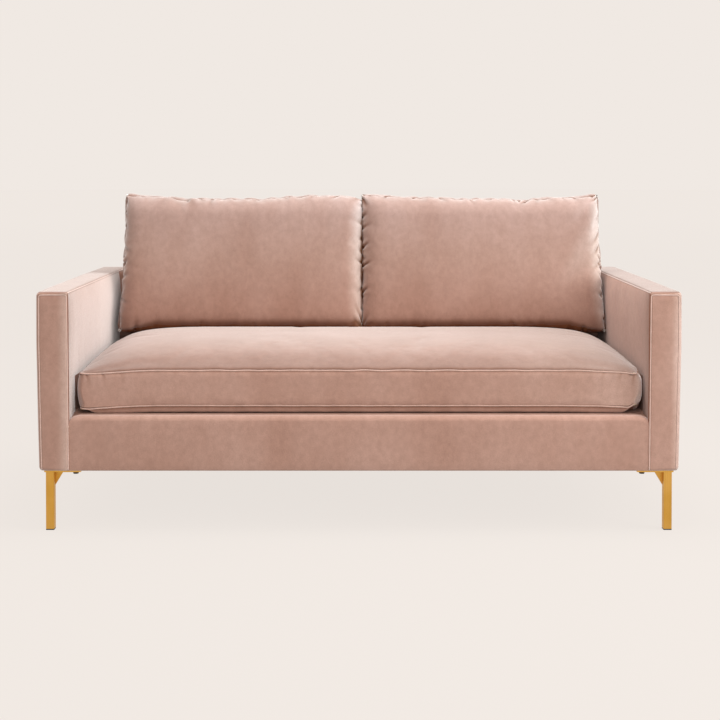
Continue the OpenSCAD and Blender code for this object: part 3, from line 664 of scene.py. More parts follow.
footPlastic = speckledPaint("footPlastic", (0.02, 0.02, 0.02), 1300.0, 0.2, 0.5, 0.00008)
zipBrass = speckledPaint("zipBrass", (0.50, 0.34, 0.13), 900.0, 0.15, 0.4, 0.00003,
                         Metallic=1.0)
woodAlongX = woodPaint("pineAlongX", (0.62, 0.42, 0.22), 0)
woodAlongY = woodPaint("pineAlongY", (0.60, 0.40, 0.21), 1)
woodAlongZ = woodPaint("pineAlongZ", (0.63, 0.43, 0.23), 2)
satinBrass = brassPaint()
print("materials mixed")


# Rigid pieces keep their CAD shape and get their finish and softened edges
rigidPieces = [
    # paint, slot, edge width, what the names begin with
    (woodAlongX, "frame_wood", 0.0015,
     ("back_bottom_rail", "back_top_rail", "front_rail", "rear_rail", "corner_blocks")),
    (woodAlongY, "frame_wood", 0.0015,
     ("arm_bottom_rail", "arm_top_rail", "side_rail", "seat_stretchers")),
    (woodAlongZ, "frame_wood", 0.0015, ("arm_front_post", "arm_rear_post", "back_ribs")),
    (hardboardFibres, "hardboard", 0.0004,
     ("arm_inner_lining", "arm_outer_lining", "back_lining")),
    (zincSteel, "plain_steel", 0.0012, ("seat_springs",)),
    (zincSteel, "plain_steel", 0.0003, ("spring_clips", "threaded_inserts", "frame_screws")),
    (zincSteel, "plain_steel", 0.0, ("spring_tie_wires",)),
    (blackSteel, "bolt_steel", 0.0004, ("arm_bolts", "leg_bolts")),
    (footPlastic, "foot_plastic", 0.0005, ("leg_feet",)),
    (satinBrass, "brass_finish", 0.0006, ("leg_front", "leg_rear")),
    (zipBrass, "zip_metal", 0.0003, ("seat_zip_slider", "back_zip_slider")),
]


def finishRigidPieces():
    for name, node in cadNodes.items():
        for paint, slot, edge, starts in rigidPieces:
            if name.startswith(starts) and not name.endswith(("foam", "cover")):
                node.data.materials.clear()
                node.data.materials.append(paint)
                if edge:
                    bevelled(node, edge)


finishRigidPieces()
print("rigid pieces finished")


def boxOf(node):
    low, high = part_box(node)
    return np.array(low), np.array(high)


# Upholstered boxes: a rounded box, crowned by its padding, with sewn seams
seam = {
    "ridgeRadius": 0.0015,
    "ridgeSides": 8,
    "ridgeSink": 0.0012,
    "grooveDepth": 0.0016,
    "grooveWidth": 0.0032,
    "creaseWidth": 0.00255,   # painted shade lies this far from a seam
    "closeLines": (-0.006, -0.0034, 0, 0.0034, 0.006),
    "pathStep": 0.006,
    "stitchPitch": 0.0043,
    "stitchLength": 0.0029,
    "stitchRadius": 0.00045,
}


def coverShape(low, high, look):
    # returns the function that puts points of the plain box on the padded cover
    middle, half = (low + high) / 2, (high - low) / 2
    edgeAt = look.get("edgeAt", lambda points: look["edge"])
    bend = look.get("bend", lambda points: points)

    def place(points):
        points = np.asarray(points, float)
        rounded, normal = roundEdges(points, low, high, edgeAt(points))
        share = np.abs((rounded - middle) / half).clip(0, 1)
        out = look["waveDepth"] * ripple(rounded, look["waveSize"], look["seed"])
        for axis in range(3):
            others = [k for k in range(3) if k != axis]
            fade = np.prod([1 - share[:, k] ** look["fullness"][k] for k in others], axis=0)
            for end, amount in zip((-1, 1), look["puff"][axis]):
                out += np.clip(end * normal[:, axis], 0, 1) ** 2 * amount * fade
        return bend(rounded + normal * out[:, None]), normal, rounded

    return place


cover = {
    "cloth": 0.0015,
    "foamDepth": 0.0022,      # from the cover's outside to the foam's
    "foamThickness": 0.005,
}


def addFoam(name, points, normals, quads, node):
    foam = addPiece(name, points - normals * cover["foamDepth"], quads, foamCells,
                    "frame", "foam")
    thickened(foam, cover["foamThickness"])
    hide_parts(node)


def addMarks(piece, domain, marks):
    for mark, values in marks.items():
        piece.data.attributes.new(mark, "FLOAT", domain).data.foreach_set("value", values)


def sewnCover(name, low, high, look, ridges, nodes, foamNode, skip=None, extras=((), (), ())):
    place = coverShape(low, high, look)
    lines = [gridLines(low[k], high[k], look["edge"], look["step"], extras[k]) for k in range(3)]
    points, quads, sides = boxSkin(*lines, skip)
    final, normal, rounded = place(points)
    away = np.full(len(points), math.inf)
    for ridge in ridges:
        away = np.minimum(away, distanceTo(rounded, place(ridge)[2]))
    sunk = np.exp(-(away / seam["grooveWidth"]) ** 2) * seam["grooveDepth"]
    piece = addPiece(name, final - normal * sunk[:, None], quads, velvetCloth, "frame", "velvet")
    # each panel gets its own lit or shaded copy of the velvet, and painted shade lies beside a seam
    # and where covers press together
    paints = np.zeros(len(quads), int)
    for side, paint in look["panels"].items():
        piece.data.materials.append(paint)
        paints[sides == side] = len(piece.data.materials) - 1
    for paint, chosen in ((velvetSeamShade, away[quads].mean(axis=1) < seam["creaseWidth"]),
                          (velvetGapShade, look["pressed"](final[quads].mean(axis=1), sides))):
        piece.data.materials.append(paint)
        paints[chosen] = len(piece.data.materials) - 1
    piece.data.polygons.foreach_set("material_index", paints)
    addMarks(piece, "CORNER", look["marks"](final[np.array(quads).ravel()], sides.repeat(4)))
    thickened(piece, cover["cloth"])
    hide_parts(*nodes)
    addFoam(name + "_foam", final, normal, quads, foamNode)
    return place


def addRidges(name, place, ridges, paint):
    parts = []
    for ridge in ridges:
        spot, normal, _ = place(ridge)
        parts.append(tube(spot - normal * seam["ridgeSink"], seam["ridgeRadius"],
                          seam["ridgeSides"]))
    addPiece(name, *joinParts(parts), paint, "frame", "velvet")


def addStitches(name, place, rows):
    parts = []
    for row in rows:
        spot = place(row)[0]
        parts.append(stitchRow(spot, seam["stitchPitch"], seam["stitchLength"],
                               seam["stitchRadius"]))
    addPiece(name, *joinParts(parts), stitchThread, "frame", "velvet")


arm = {
    "edge": 0.011,
    "innerEdge": 0.006,
    "step": 0.018,
    "fullness": (4, 3, 4),
    "waveDepth": 0.0005,
    "waveSize": 0.16,
    "innerPuff": 0.0025,
    "innerBulge": 0.0065,     # the padding of the inner side, above the seat cushion
    "bulgeHeight": 0.57,
    "bulgeReach": 0.075,
    "bulgeTop": 0.03,         # it fades out this far below the top
    "bulgePowers": (6, 4),    # how flat it is along the arm and across it
    "outerPuff": 0.0042,
    "endPuff": 0.0010,
    "topPuff": 0.0015,
    "panelInset": 0.0085,     # from the arm's edges to the seam round the front panel
    "innerInset": 0.0030,     # the same on the side of the seat
    "edgeSeam": 0.0020,       # from the arm's edge to the seams along its top
    "stitchInset": 0.0052,    # from the panel's seam to its stitches
    "edgeShade": 0.95,        # painted shade on the inner side at its front edge
    "edgeShadeReach": 0.048,
    # painted highlight near the front panel's right edge, and towards the rear on the left arm's
    # inner side
    "rightHighlight": 0.65,
    "rightHighlightReach": 0.035,
    "rearHighlight": 0.5,
    "rearHighlightRange": (-0.25, 0.1),
    "besideSeat": 0.072,      # painted shade behind this and below the seat's top, where the cushion presses on it
    "seatTop": 0.406,
    "seamFoot": 0.001,        # how far above the hem the seams and the stitches end
    "stitchFoot": 0.006,
    "frontLines": (0.016, 0.023, 0.046, 0.060),
    "cornerCut": 0.006,
    "taperTop": 0.50,         # height below which the outer side leans in
    "outerTaper": 0.0065,
    "innerLean": 0.0016,
    "hem": 0.030,
}


def buildArm(side, word):
    low, high = boxOf("arm_cover_" + word)
    inner, outer = (low[0], high[0]) if side > 0 else (high[0], low[0])
    width = high[0] - low[0]
    front, rear, bottom, top = low[1], high[1], low[2], high[2]

    def edgeAt(points):
        # its edges are sharper towards the seat
        outward = np.clip(np.abs(points[:, 0] - inner) / width, 0, 1)
        return arm["innerEdge"] + (arm["edge"] - arm["innerEdge"]) * outward

    def bend(points):
        bent = points.copy()
        outward = np.clip(np.abs(points[:, 0] - inner) / width, 0, 1)
        deep = np.clip((arm["taperTop"] - points[:, 2]) / (arm["taperTop"] - bottom), 0, 1)
        rise = 2 * (points[:, 2] - bottom) / (top - bottom) - 1
        bent[:, 0] += side * (arm["innerLean"] * rise * (1 - outward)
                              - arm["outerTaper"] * deep * outward)
        along = np.abs(2 * (points[:, 1] - front) / (rear - front) - 1).clip(0, 1)
        level = np.exp(-((points[:, 2] - arm["bulgeHeight"]) / arm["bulgeReach"]) ** 2)
        edge = smoothStep(points[:, 2], top, top - arm["bulgeTop"])
        lengthwise, across = arm["bulgePowers"]
        bulge = arm["innerBulge"] * (1 - along ** lengthwise) * level * edge
        bent[:, 0] -= side * bulge * (1 - outward) ** across
        return bent

    innerSide = 0 if side > 0 else 1

    # painted shade at the inner side's front edge, painted highlight on the front's right edge and
    # the left inner side's rear
    def marks(points, sides):
        depth = points[:, 1] - front
        onInner, onFront = sides == innerSide, sides == 2
        shade = arm["edgeShade"] * np.exp(-np.clip(depth, 0, 1) / arm["edgeShadeReach"])
        toRight = arm["rightHighlight"] * smoothStep(
            points[:, 0], high[0] - arm["rightHighlightReach"], high[0])
        toRear = arm["rearHighlight"] * smoothStep(points[:, 1], *arm["rearHighlightRange"]) * (side < 0)
        return {"crease": onInner * shade, "ridge": onInner * toRear + onFront * toRight}

    # painted shade on the inner side beside the seat cushion
    def pressed(middles, sides):
        beside = (middles[:, 1] > front + arm["besideSeat"]) & (middles[:, 2] < arm["seatTop"])
        return (sides == innerSide) & beside

    puffX = (arm["innerPuff"], arm["outerPuff"])
    look = {
        "edge": arm["edge"], "edgeAt": edgeAt, "bend": bend, "step": arm["step"],
        "fullness": arm["fullness"], "waveDepth": arm["waveDepth"],
        "waveSize": arm["waveSize"], "seed": 2 + side,
        # painted light and shade: shaded copies on the right arm's inner side and the tops, a lit
        # copy on the left arm's inner side
        "panels": ({0: velvetShade, 5: velvetShadedTopRight} if side > 0
                   else {1: velvetLitSide, 5: velvetShadedTop}),
        "marks": marks, "pressed": pressed,
        "puff": (puffX if side > 0 else puffX[::-1],
                 (arm["endPuff"], arm["endPuff"]), (0, arm["topPuff"])),
    }
    inset, innerInset = arm["panelInset"], arm["innerInset"]
    ridges, rows = [], []
    for end in (front, rear):
        ridges.append(evenPath([
            (outer - side * inset, end, bottom + arm["seamFoot"]),
            (outer - side * inset, end, top - inset),
            (inner + side * innerInset, end, top - inset),
            (inner + side * innerInset, end, bottom + arm["seamFoot"])],
            seam["pathStep"], arm["cornerCut"]))
        stitchX = inner + side * (innerInset + arm["stitchInset"])
        rows.append(evenPath([(stitchX, end, top - inset - arm["stitchInset"]),
                              (stitchX, end, bottom + arm["stitchFoot"])], seam["pathStep"]))
    edgeSeam = arm["edgeSeam"]
    for x in (inner, outer):
        ridges.append(evenPath([(x, rear - edgeSeam, top - edgeSeam),
                                (x, front + edgeSeam, top - edgeSeam)], seam["pathStep"]))

    def skip(sideNumber, middle):
        hem = arm["hem"]
        return (sideNumber == 4 and low[0] + hem < middle[0] < high[0] - hem
                and front + hem < middle[1] < rear - hem)

    around = [d + inset for d in seam["closeLines"]]
    sideLines = (*around, arm["hem"])
    extras = ([low[0] + d for d in sideLines] + [high[0] - d for d in sideLines],
              [front + d for d in (*arm["frontLines"], arm["hem"], arm["besideSeat"])]
              + [rear - arm["hem"]],
              [high[2] - d for d in around] + [arm["seatTop"]])
    name = "arm_" + word
    place = sewnCover(name + "_cover", low, high, look, ridges,
                      ["arm_cover_" + word], "arm_foam_" + word, skip, extras)
    addRidges(name + "_seams", place, ridges, velvetPipingHighlight)
    addStitches(name + "_stitches", place, rows)


for side, word in ((-1, "left"), (1, "right")):
    buildArm(side, word)
print("arms upholstered")


back = {
    "edge": 0.011,
    "step": 0.020,
    "fullness": (6, 4, 4),
    "waveDepth": 0.0006,
    "waveSize": 0.18,
    "frontPuff": 0.004,
    "rearPuff": 0.0025,
    "topPuff": 0.002,
    "intoArm": 0.005,         # how far its ends are sewn into the arms
    "topSeam": 0.002,
    "stitchInset": 0.006,
    "stitchEnds": 0.01,
    "footEdge": 0.004,        # its lowest edge is sharper, up to the foot's height
    "footHeight": 0.02,
    "pressedHeight": 0.12,    # painted shade this far above the deck, where the seat cushion presses on it
    "hem": 0.030,
}


def buildBack():
    low, high = boxOf("back_cover")
    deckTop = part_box("deck_cover")[1].z
    low[0] -= back["intoArm"]
    high[0] += back["intoArm"]
    look = {
        "edge": back["edge"], "step": back["step"], "fullness": back["fullness"],
        "edgeAt": lambda points: np.where(
            points[:, 2] < low[2] + back["footHeight"], back["footEdge"], back["edge"]),
        "waveDepth": back["waveDepth"], "waveSize": back["waveSize"], "seed": 7,
        # painted shade: shaded copies on the top and on the front behind the back cushions
        "panels": {5: velvetShadedTop, 2: velvetShade},
        "marks": lambda points, sides: {},
        "pressed": lambda middles, sides: (
            (sides == 2) & (middles[:, 2] < deckTop + back["pressedHeight"])),
        "puff": ((0, 0), (back["frontPuff"], back["rearPuff"]), (0, back["topPuff"])),
    }
    topSeam = high[2] - back["topSeam"]
    ridges = [evenPath([(low[0], y, topSeam), (high[0], y, topSeam)], seam["pathStep"])
              for y in (low[1], high[1])]
    stitchZ = topSeam - back["stitchInset"] - back["edge"] / 2
    ends = (low[0] + back["stitchEnds"], high[0] - back["stitchEnds"])
    rows = [evenPath([(x, high[1], stitchZ) for x in ends], seam["pathStep"])]

    def skip(sideNumber, middle):
        inFront = sideNumber == 2 and middle[2] < deckTop
        below = sideNumber == 4 and middle[1] < high[1] - back["hem"]
        inArm = sideNumber in (0, 1) and middle[2] < deckTop
        return inFront or below or inArm

    extras = ((), (high[1] - back["hem"],), (deckTop,))
    place = sewnCover("back_cover_velvet", low, high, look, ridges, ["back_cover"],
                      "back_foam", skip, extras)
    addRidges("back_seams", place, ridges, velvetFoldHighlight)
    addStitches("back_stitches", place, rows)


buildBack()
print("back upholstered")


rail = {
    "bottomEdge": 0.004,
    "topEdge": 0.016,
    "endRound": 0.019,        # the top corner rolls down into the arm
    "endDraw": 0.5,           # and is drawn out sideways to twice its height
    "endFade": 0.085,         # and reaches this far back from the front
    "endLines": (0, 0.001, 0.003, 0.006, 0.009, 0.012, 0.0155, 0.019, 0.024, 0.031, 0.038,
                 0.045),
    "innerLines": 0.055,      # how far from the ends the even lines begin
    "dropStart": 0.02,
    "crownPowers": (8, 4),
    "lipShows": 0.014,        # painted shade on the lip behind this, where the cushion presses on it
    "hem": 0.030,
    "hemTurn": 0.6,           # a middle point of the hem, as a share of it
    "puff": 0.0015,
    "waveDepth": 0.0004,
    "waveSize": 0.14,
    "step": 0.016,
    "intoArm": 0.0045,
}


def arcPoints(centre, radius, start, end, count):
    turns = np.radians(np.linspace(start, end, count))
    return [(centre[0] + radius * math.cos(t), centre[1] + radius * math.sin(t)) for t in turns]


def gridSheet(across, along):
    # quads of a sheet whose points run along first, then across
    return [[i * along + j, (i + 1) * along + j, (i + 1) * along + j + 1, i * along + j + 1]
            for i in range(across - 1) for j in range(along - 1)]


def buildRail():
    low, high = boxOf("front_rail_cover")
    hem, r, t = rail["hem"], rail["bottomEdge"], rail["topEdge"]
    front, rear, bottom, top = low[1], high[1], low[2], high[2]
    outline = [(front + hem, bottom), (front + hem * rail["hemTurn"], bottom)]
    outline += arcPoints((front + r, bottom + r), r, 270, 180, 5)
    outline += [(front, z) for z in np.linspace(bottom + r, top - t, 9)[1:-1]]
    outline += arcPoints((front + t, top - t), t, 180, 90, 10)
    outline += [(y, top) for y in np.linspace(front + t, rear, 8)[1:]]
    end = high[0] + rail["intoArm"]
    ends = rail["endLines"]
    inner = np.linspace(-end + rail["innerLines"], end - rail["innerLines"],
                        round(2 * end / rail["step"]))
    xs = np.concatenate([[e - end for e in ends], inner, [end - e for e in reversed(ends)]])
    points = np.array([(x, y, z) for x in xs for y, z in outline])
    fromEnd = np.clip((end - np.abs(points[:, 0])) * rail["endDraw"], 0, rail["endRound"])
    drop = rail["endRound"] - np.sqrt(rail["endRound"] ** 2 - (rail["endRound"] - fromEnd) ** 2)
    height = smoothStep(points[:, 2], bottom + rail["dropStart"], top - t)
    behind = 1 - smoothStep(points[:, 1], front + t, front + rail["endFade"])
    across, upright = rail["crownPowers"]
    crown = (1 - (points[:, 0] / end) ** across) * np.clip(
        1 - ((points[:, 2] - bottom) / (top - bottom) * 2 - 1) ** upright, 0, 1)
    wave = ripple(points, rail["waveSize"], 11)
    facing = 1 - smoothStep(points[:, 1], front, front + t)
    points[:, 1] -= facing * (rail["puff"] * crown + rail["waveDepth"] * wave)
    points[:, 2] -= drop * height * behind
    quads = gridSheet(len(xs), len(outline))
    piece = addPiece("front_rail_velvet", points, quads, velvetCloth, "frame", "velvet")
    # painted shade on the lip behind its front edge, under the seat cushion
    piece.data.materials.append(velvetGapShade)
    depths = points[quads][:, :, 1].mean(axis=1)
    heights = points[quads][:, :, 2].mean(axis=1)
    pressed = (depths > front + rail["lipShows"]) & (heights > (top + bottom) / 2)
    piece.data.polygons.foreach_set("material_index", pressed.astype(int))
    thickened(piece, cover["cloth"])
    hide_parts("front_rail_cover")
    addFoam("front_rail_padding", points, meshNormals(points, quads), quads, "front_rail_foam")


buildRail()
print("front rail upholstered")


# Cloth below the seat cushion and under the frame, and the straps inside the back
deck = {
    "underLip": 0.008,
    "sink": 0.0006,           # below the CAD cover's top, with waves of the pull lines
    "wave": 0.0007,
    "waveSize": 0.16,
    "waveStretch": (0.5, 1),
    "step": 0.03,
    "hemDrop": 0.009,
    "hemReach": 0.008,
    "hemStart": -0.002,
    "clothThickness": 0.0008,
    "stitchEnds": 0.01,
    "stitchAhead": 0.004,     # in front of the CAD cover's front edge
    "stitchSink": 0.0002,
    "padEdge": 0.005,
    "padGap": 0.0022,
    "padStep": 0.04,
}
dust = {
    "sag": 0.0022,
    "wave": 0.0004,
    "waveSize": 0.11,
    "edgeReach": 0.012,
    "step": 0.03,
    "staplePitch": 0.060,
    "stapleStart": 0.09,      # from the corners to the first staple
    "stapleInset": 0.010,
    "stapleLength": 0.010,
    "stapleRadius": 0.0006,
}
strap = {"width": 0.060, "thickness": 0.0018, "wave": 0.0002, "heights": 3, "lines": (60, 21)}
closeShares = (0, 0.15, 0.35, 0.65)


def closerAtEnds(low, high, edge, step):
    # even lines with closer ones beside both ends
    return [low + edge * s for s in closeShares] + list(np.linspace(
        low + edge, high - edge, round((high - low) / step))) + [
        high - edge * s for s in reversed(closeShares)]


def addSheet(name, xs, ys, heightAt, paint, slot, node):
    grid = np.array([(x, y) for x in xs for y in ys])
    points = np.column_stack([grid, heightAt(grid)])
    sheet = addPiece(name, points, gridSheet(len(xs), len(ys)), paint, "frame", slot)
    row = points[len(ys) // 2::len(ys)]
    column = points[len(xs) // 2 * len(ys):][:len(ys)]
    flat = tuple(round(float(pathRun(p)[-1]), 3) for p in (row, column))
    print(name, "is cut to", flat)
    thickened(sheet, deck["clothThickness"])
    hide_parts(node)


def buildDeck():
    low, high = boxOf("deck_cover")
    front = low[1] - deck["underLip"]

    def deckHeight(spots):
        edge = np.minimum(high[0] - np.abs(spots[:, 0]), high[1] - spots[:, 1])
        wave = ripple(np.column_stack([spots * deck["waveStretch"], spots[:, 0] * 0]),
                      deck["waveSize"], 21)
        drop = deck["hemDrop"] * (1 - smoothStep(edge, deck["hemStart"], deck["hemReach"]))
        return high[2] - deck["sink"] - deck["wave"] * (1 + wave) / 2 - drop

    xs = closerAtEnds(low[0], high[0], deck["hemReach"], deck["step"])
    ys = closerAtEnds(front, high[1], deck["hemReach"], deck["step"])
    addSheet("deck_cloth", xs, ys, deckHeight, deckWeave, "deck_cloth", "deck_cover")
    row = evenPath([(x, low[1] - deck["stitchAhead"], high[2] - deck["stitchSink"])
                    for x in (low[0] + deck["stitchEnds"], high[0] - deck["stitchEnds"])], 0.01)
    addPiece("deck_stitches", *stitchRow(row, seam["stitchPitch"], seam["stitchLength"],
                                         seam["stitchRadius"]), stitchThread, "frame", "velvet")
    low, high = boxOf("deck_pad")
    lines = [gridLines(low[k], high[k], deck["padEdge"], deck["padStep"]) for k in range(3)]
    points, quads, _ = boxSkin(*lines)
    points, _ = roundEdges(points, low, high, deck["padEdge"])
    points[:, 2] = np.minimum(points[:, 2], deckHeight(points[:, :2]) - deck["padGap"])
    pad = addPiece("deck_padding", points, quads, foamCells, "frame", "foam")
    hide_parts("deck_pad")


def buildDustCover():
    low, high = boxOf("dust_cover")

    def dustHeight(spots):
        share = np.abs(spots / high[:2]).clip(0, 1)
        sag = dust["sag"] * (1 - share[:, 0] ** 2) * (1 - share[:, 1] ** 2)
        wave = ripple(np.column_stack([spots, spots[:, 0] * 0]), dust["waveSize"], 23)
        return high[2] - sag - dust["wave"] * (1 + wave) / 2

    xs, ys = (closerAtEnds(low[k], high[k], dust["edgeReach"], dust["step"]) for k in (0, 1))
    addSheet("dust_cloth", xs, ys, dustHeight, dustFelt, "dust_cloth", "dust_cover")
    inset, half = dust["stapleInset"], dust["stapleLength"] / 2
    staples = []
    for axis in (0, 1):
        reach = high[axis] - dust["stapleStart"]
        for place in np.linspace(-reach, reach, int(2 * reach / dust["staplePitch"])):
            for end in (-1, 1):
                ends = np.zeros((2, 3))
                ends[:, axis] = (place - half, place + half)
                ends[:, 1 - axis] = end * (high[1 - axis] - inset)
                ends[:, 2] = low[2] - dust["stapleRadius"] / 2
                staples.append(tube(ends, dust["stapleRadius"], 6))
    addPiece("dust_staples", *joinParts(staples), zincSteel, "frame", "plain_steel")


def buildStraps():
    low, high = boxOf("back_webbing")
    width = strap["width"]
    along, across = strap["lines"]
    xs = np.linspace(low[0], high[0], along)
    ribs = np.linspace(0, width, across)
    wave = strap["wave"] * np.cos(np.arange(across) * math.pi)
    parts = []
    for base in np.linspace(low[2], high[2] - width, strap["heights"]):
        points = [(x, low[1] + w, base + r) for x in xs for r, w in zip(ribs, wave)]
        parts.append((points, gridSheet(len(xs), len(ribs))))
    straps = addPiece("back_straps", *joinParts(parts), webbingWeave, "frame", "webbing")
    thickened(straps, strap["thickness"])
    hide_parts("back_webbing")


buildDeck()
buildDustCover()
buildStraps()
print("deck, dust cover and webbing laid")


# Loose cushions: a sewn shell of two panels and a boxing strip, stuffed and gathered
onPanel = 0.999               # shares of half the boxing: what lies higher is on a panel
onFinerPanel = 0.99
onSeam = 0.9999
cornerLines = 5


def panelLines(half, corner, cell):
    inside = half - corner
    middle = np.linspace(-inside, inside, max(2, round(2 * inside / cell)) + 1)
    edge = np.linspace(inside, half, cornerLines)[1:]
    return [*(-edge[::-1]), *middle, *edge]


class CushionShell:
    # The shell lies flat about its middle with its face up

    def __init__(self, cut):
        self.cut = cut
        half = self.half = np.array([cut["width"], cut["depth"], cut["boxing"]]) / 2
        lines = [panelLines(half[k], cut["corner"], cut["cell"]) for k in (0, 1)]
        lines.append(list(np.linspace(-half[2], half[2], cut["rows"] + 1)))
        self.flat, quads, sides = boxSkin(*lines)
        self.plainQuads = quads
        on = np.zeros((len(self.flat), 3), bool)
        for quad, side in zip(quads, sides):
            on[quad, {4: 0, 5: 1}.get(side, 2)] = True
        self.rear, self.face, self.boxing = on.T
        self.seams = self.boxing & (self.rear | self.face)
        self.local = self.stuffed(self.flat)

    def planned(self, flat):
        # rounds the corners of the plan, and gives the way out from its edge
        corner = self.cut["corner"]
        inner = np.clip(flat[:, :2], corner - self.half[:2], self.half[:2] - corner)
        away = flat[:, :2] - inner
        reach = np.abs(away).max(axis=1)
        length = np.linalg.norm(away, axis=1)
        way = away / np.maximum(length, 1e-9)[:, None]
        return inner + way * reach[:, None], way

    def stuffed(self, flat):
        cut, half = self.cut, self.half
        plan, way = self.planned(flat)
        u, v = plan[:, 0] / half[0], plan[:, 1] / half[1]
        shares = np.where(v < 0, *cut["sideShares"])
        x = plan[:, 0] - cut["waist"] * u * (1 - v * v) - cut["taper"] * v * (1 + u) / 4
        y = plan[:, 1] - cut["waist"] * v * (1 - u * u) * shares
        s = flat[:, 2] / half[2]
        rolls = np.zeros(len(flat))
        onFace, onRear = s > onPanel, s < -onPanel
        for on, (inset, rise, length) in zip((onFace, onRear), cut["rolls"]):
            away = half[:2] - np.abs(plan[on])
            turn = np.clip(away / length, 0, 1) * math.pi / 2
            kept = np.where(away < length, inset * (1 - np.cos(turn)),
                            inset + (away - length) * (half[:2] - inset) / (half[:2] - length))
            moved = np.sign(plan[on]) * (away - kept)
            x[on] += moved[:, 0]
            y[on] += moved[:, 1]
            rolls[on] = rise * np.prod(np.sin(turn), axis=1)
        across, along = flat[:, 0] / half[0], flat[:, 1] / half[1]
        along = np.abs(along + cut["settled"] * (1 - along ** 2))
        across = np.abs(across)
        fall = (1 - across ** cut["powers"][0]) * (1 - along ** cut["powers"][1])
        sag = (1 - across ** cut["bellyPowers"][0]) * (1 - along ** cut["bellyPowers"][1])
        z = flat[:, 2] + onFace * (rolls + cut["crown"] * fall)
        z -= onRear * (rolls + cut["belly"] * sag)
        out = cut["swell"] * (1 - s * s) * (np.abs(s) < onPanel)
        wayShare = np.where(way[:, 1] < 0, *cut["sideShares"])
        return np.stack([x + out * way[:, 0], y + out * way[:, 1] * wayShare,
                         np.maximum(z, cut["floor"])], 1)


stuffing = {
    "frames": 20,
    "quality": 6,
    "pressure": 4.0,
    "stiffness": 25.0,
    "shear": 25.0 / 3,
    "bending": 0.25,
    "mass": 0.25,
    "calmRounds": 45,         # rounds of averaging that find the broad part of the swelling
    "reach": 0.06,            # how far the wrinkles run in from the seams
}


def stuffed(shell, growth, gain, broadShare):
    # blows the shell up as cloth whose panels are cut larger than their seams, and keeps its
    # wrinkles with a share of the broad swelling, so that the cushion stays to size
    mesh = bpy.data.meshes.new("shellAtRest")
    mesh.from_pydata(shell.local.tolist(), [], shell.plainQuads)
    work = bpy.data.objects.new("shellAtRest", mesh)
    scene.collection.objects.link(work)
    seams = work.vertex_groups.new(name="seams")
    seams.add([int(i) for i in np.flatnonzero(shell.seams)], 1.0, "REPLACE")
    cloth = work.modifiers.new("stuffing", "CLOTH")
    cloth.settings.quality = stuffing["quality"]
    cloth.settings.mass = stuffing["mass"]
    cloth.settings.tension_stiffness = stuffing["stiffness"]
    cloth.settings.compression_stiffness = stuffing["stiffness"]
    cloth.settings.shear_stiffness = stuffing["shear"]
    cloth.settings.bending_stiffness = stuffing["bending"]
    cloth.settings.use_pressure = True
    cloth.settings.uniform_pressure_force = stuffing["pressure"]
    cloth.settings.effector_weights.gravity = 0
    cloth.settings.vertex_group_shrink = "seams"
    cloth.settings.shrink_min = -growth
    cloth.settings.shrink_max = 0.0
    cloth.point_cache.frame_start = 1
    cloth.point_cache.frame_end = stuffing["frames"]
    for frame in range(1, stuffing["frames"] + 1):
        scene.frame_set(frame)
    graph = bpy.context.evaluated_depsgraph_get()
    blown = np.array([v.co for v in work.evaluated_get(graph).data.vertices])
    edges = np.array([e.vertices[:] for e in mesh.edges])
    bpy.data.objects.remove(work)
    scene.frame_set(1)
    moved = blown - shell.local
    broad = averaged(moved, edges, stuffing["calmRounds"])
    wrinkles = moved - broad
    print("wrinkles up to", round(float(np.abs(wrinkles).max()), 4), "swelling up to",
          round(float(np.abs(broad).max()), 4))
    cap = shell.cut["wrinkleCap"]
    length = np.linalg.norm(wrinkles, axis=1) * gain
    wrinkles *= (gain * cap * np.tanh(length / cap) / np.maximum(length, 1e-9))[:, None]
    # the middle of a panel is drawn smooth
    inside = (shell.half[:2] - np.abs(shell.flat[:, :2])).min(axis=1)
    calm = shell.cut["calm"]
    wrinkles *= (calm + (1 - calm) * np.exp(-(inside / stuffing["reach"]) ** 2))[:, None]
    return shell.local + wrinkles + broad * broadShare


def averaged(values, edges, rounds):
    count = np.bincount(edges.ravel(), minlength=len(values))[:, None]
    for _ in range(rounds):
        total = np.zeros_like(values)
        for k in range(values.shape[1]):
            total[:, k] = (np.bincount(edges[:, 0], values[edges[:, 1], k], len(values))
                           + np.bincount(edges[:, 1], values[edges[:, 0], k], len(values)))
        values = 0.5 * values + 0.5 * total / count
    return values


foldForm = {
    "shoulder": 1.8,          # how high the cloth stands beside a fold, against its depth
    "start": (0.3, 0.03),     # it begins at most this share and this length ahead of its start
    "startReach": 0.014,
    "endFade": 0.25,          # it fades out from this share of its length on
    "boxingReach": 1.1,       # how far it runs down the boxing, in halves of the boxing
}


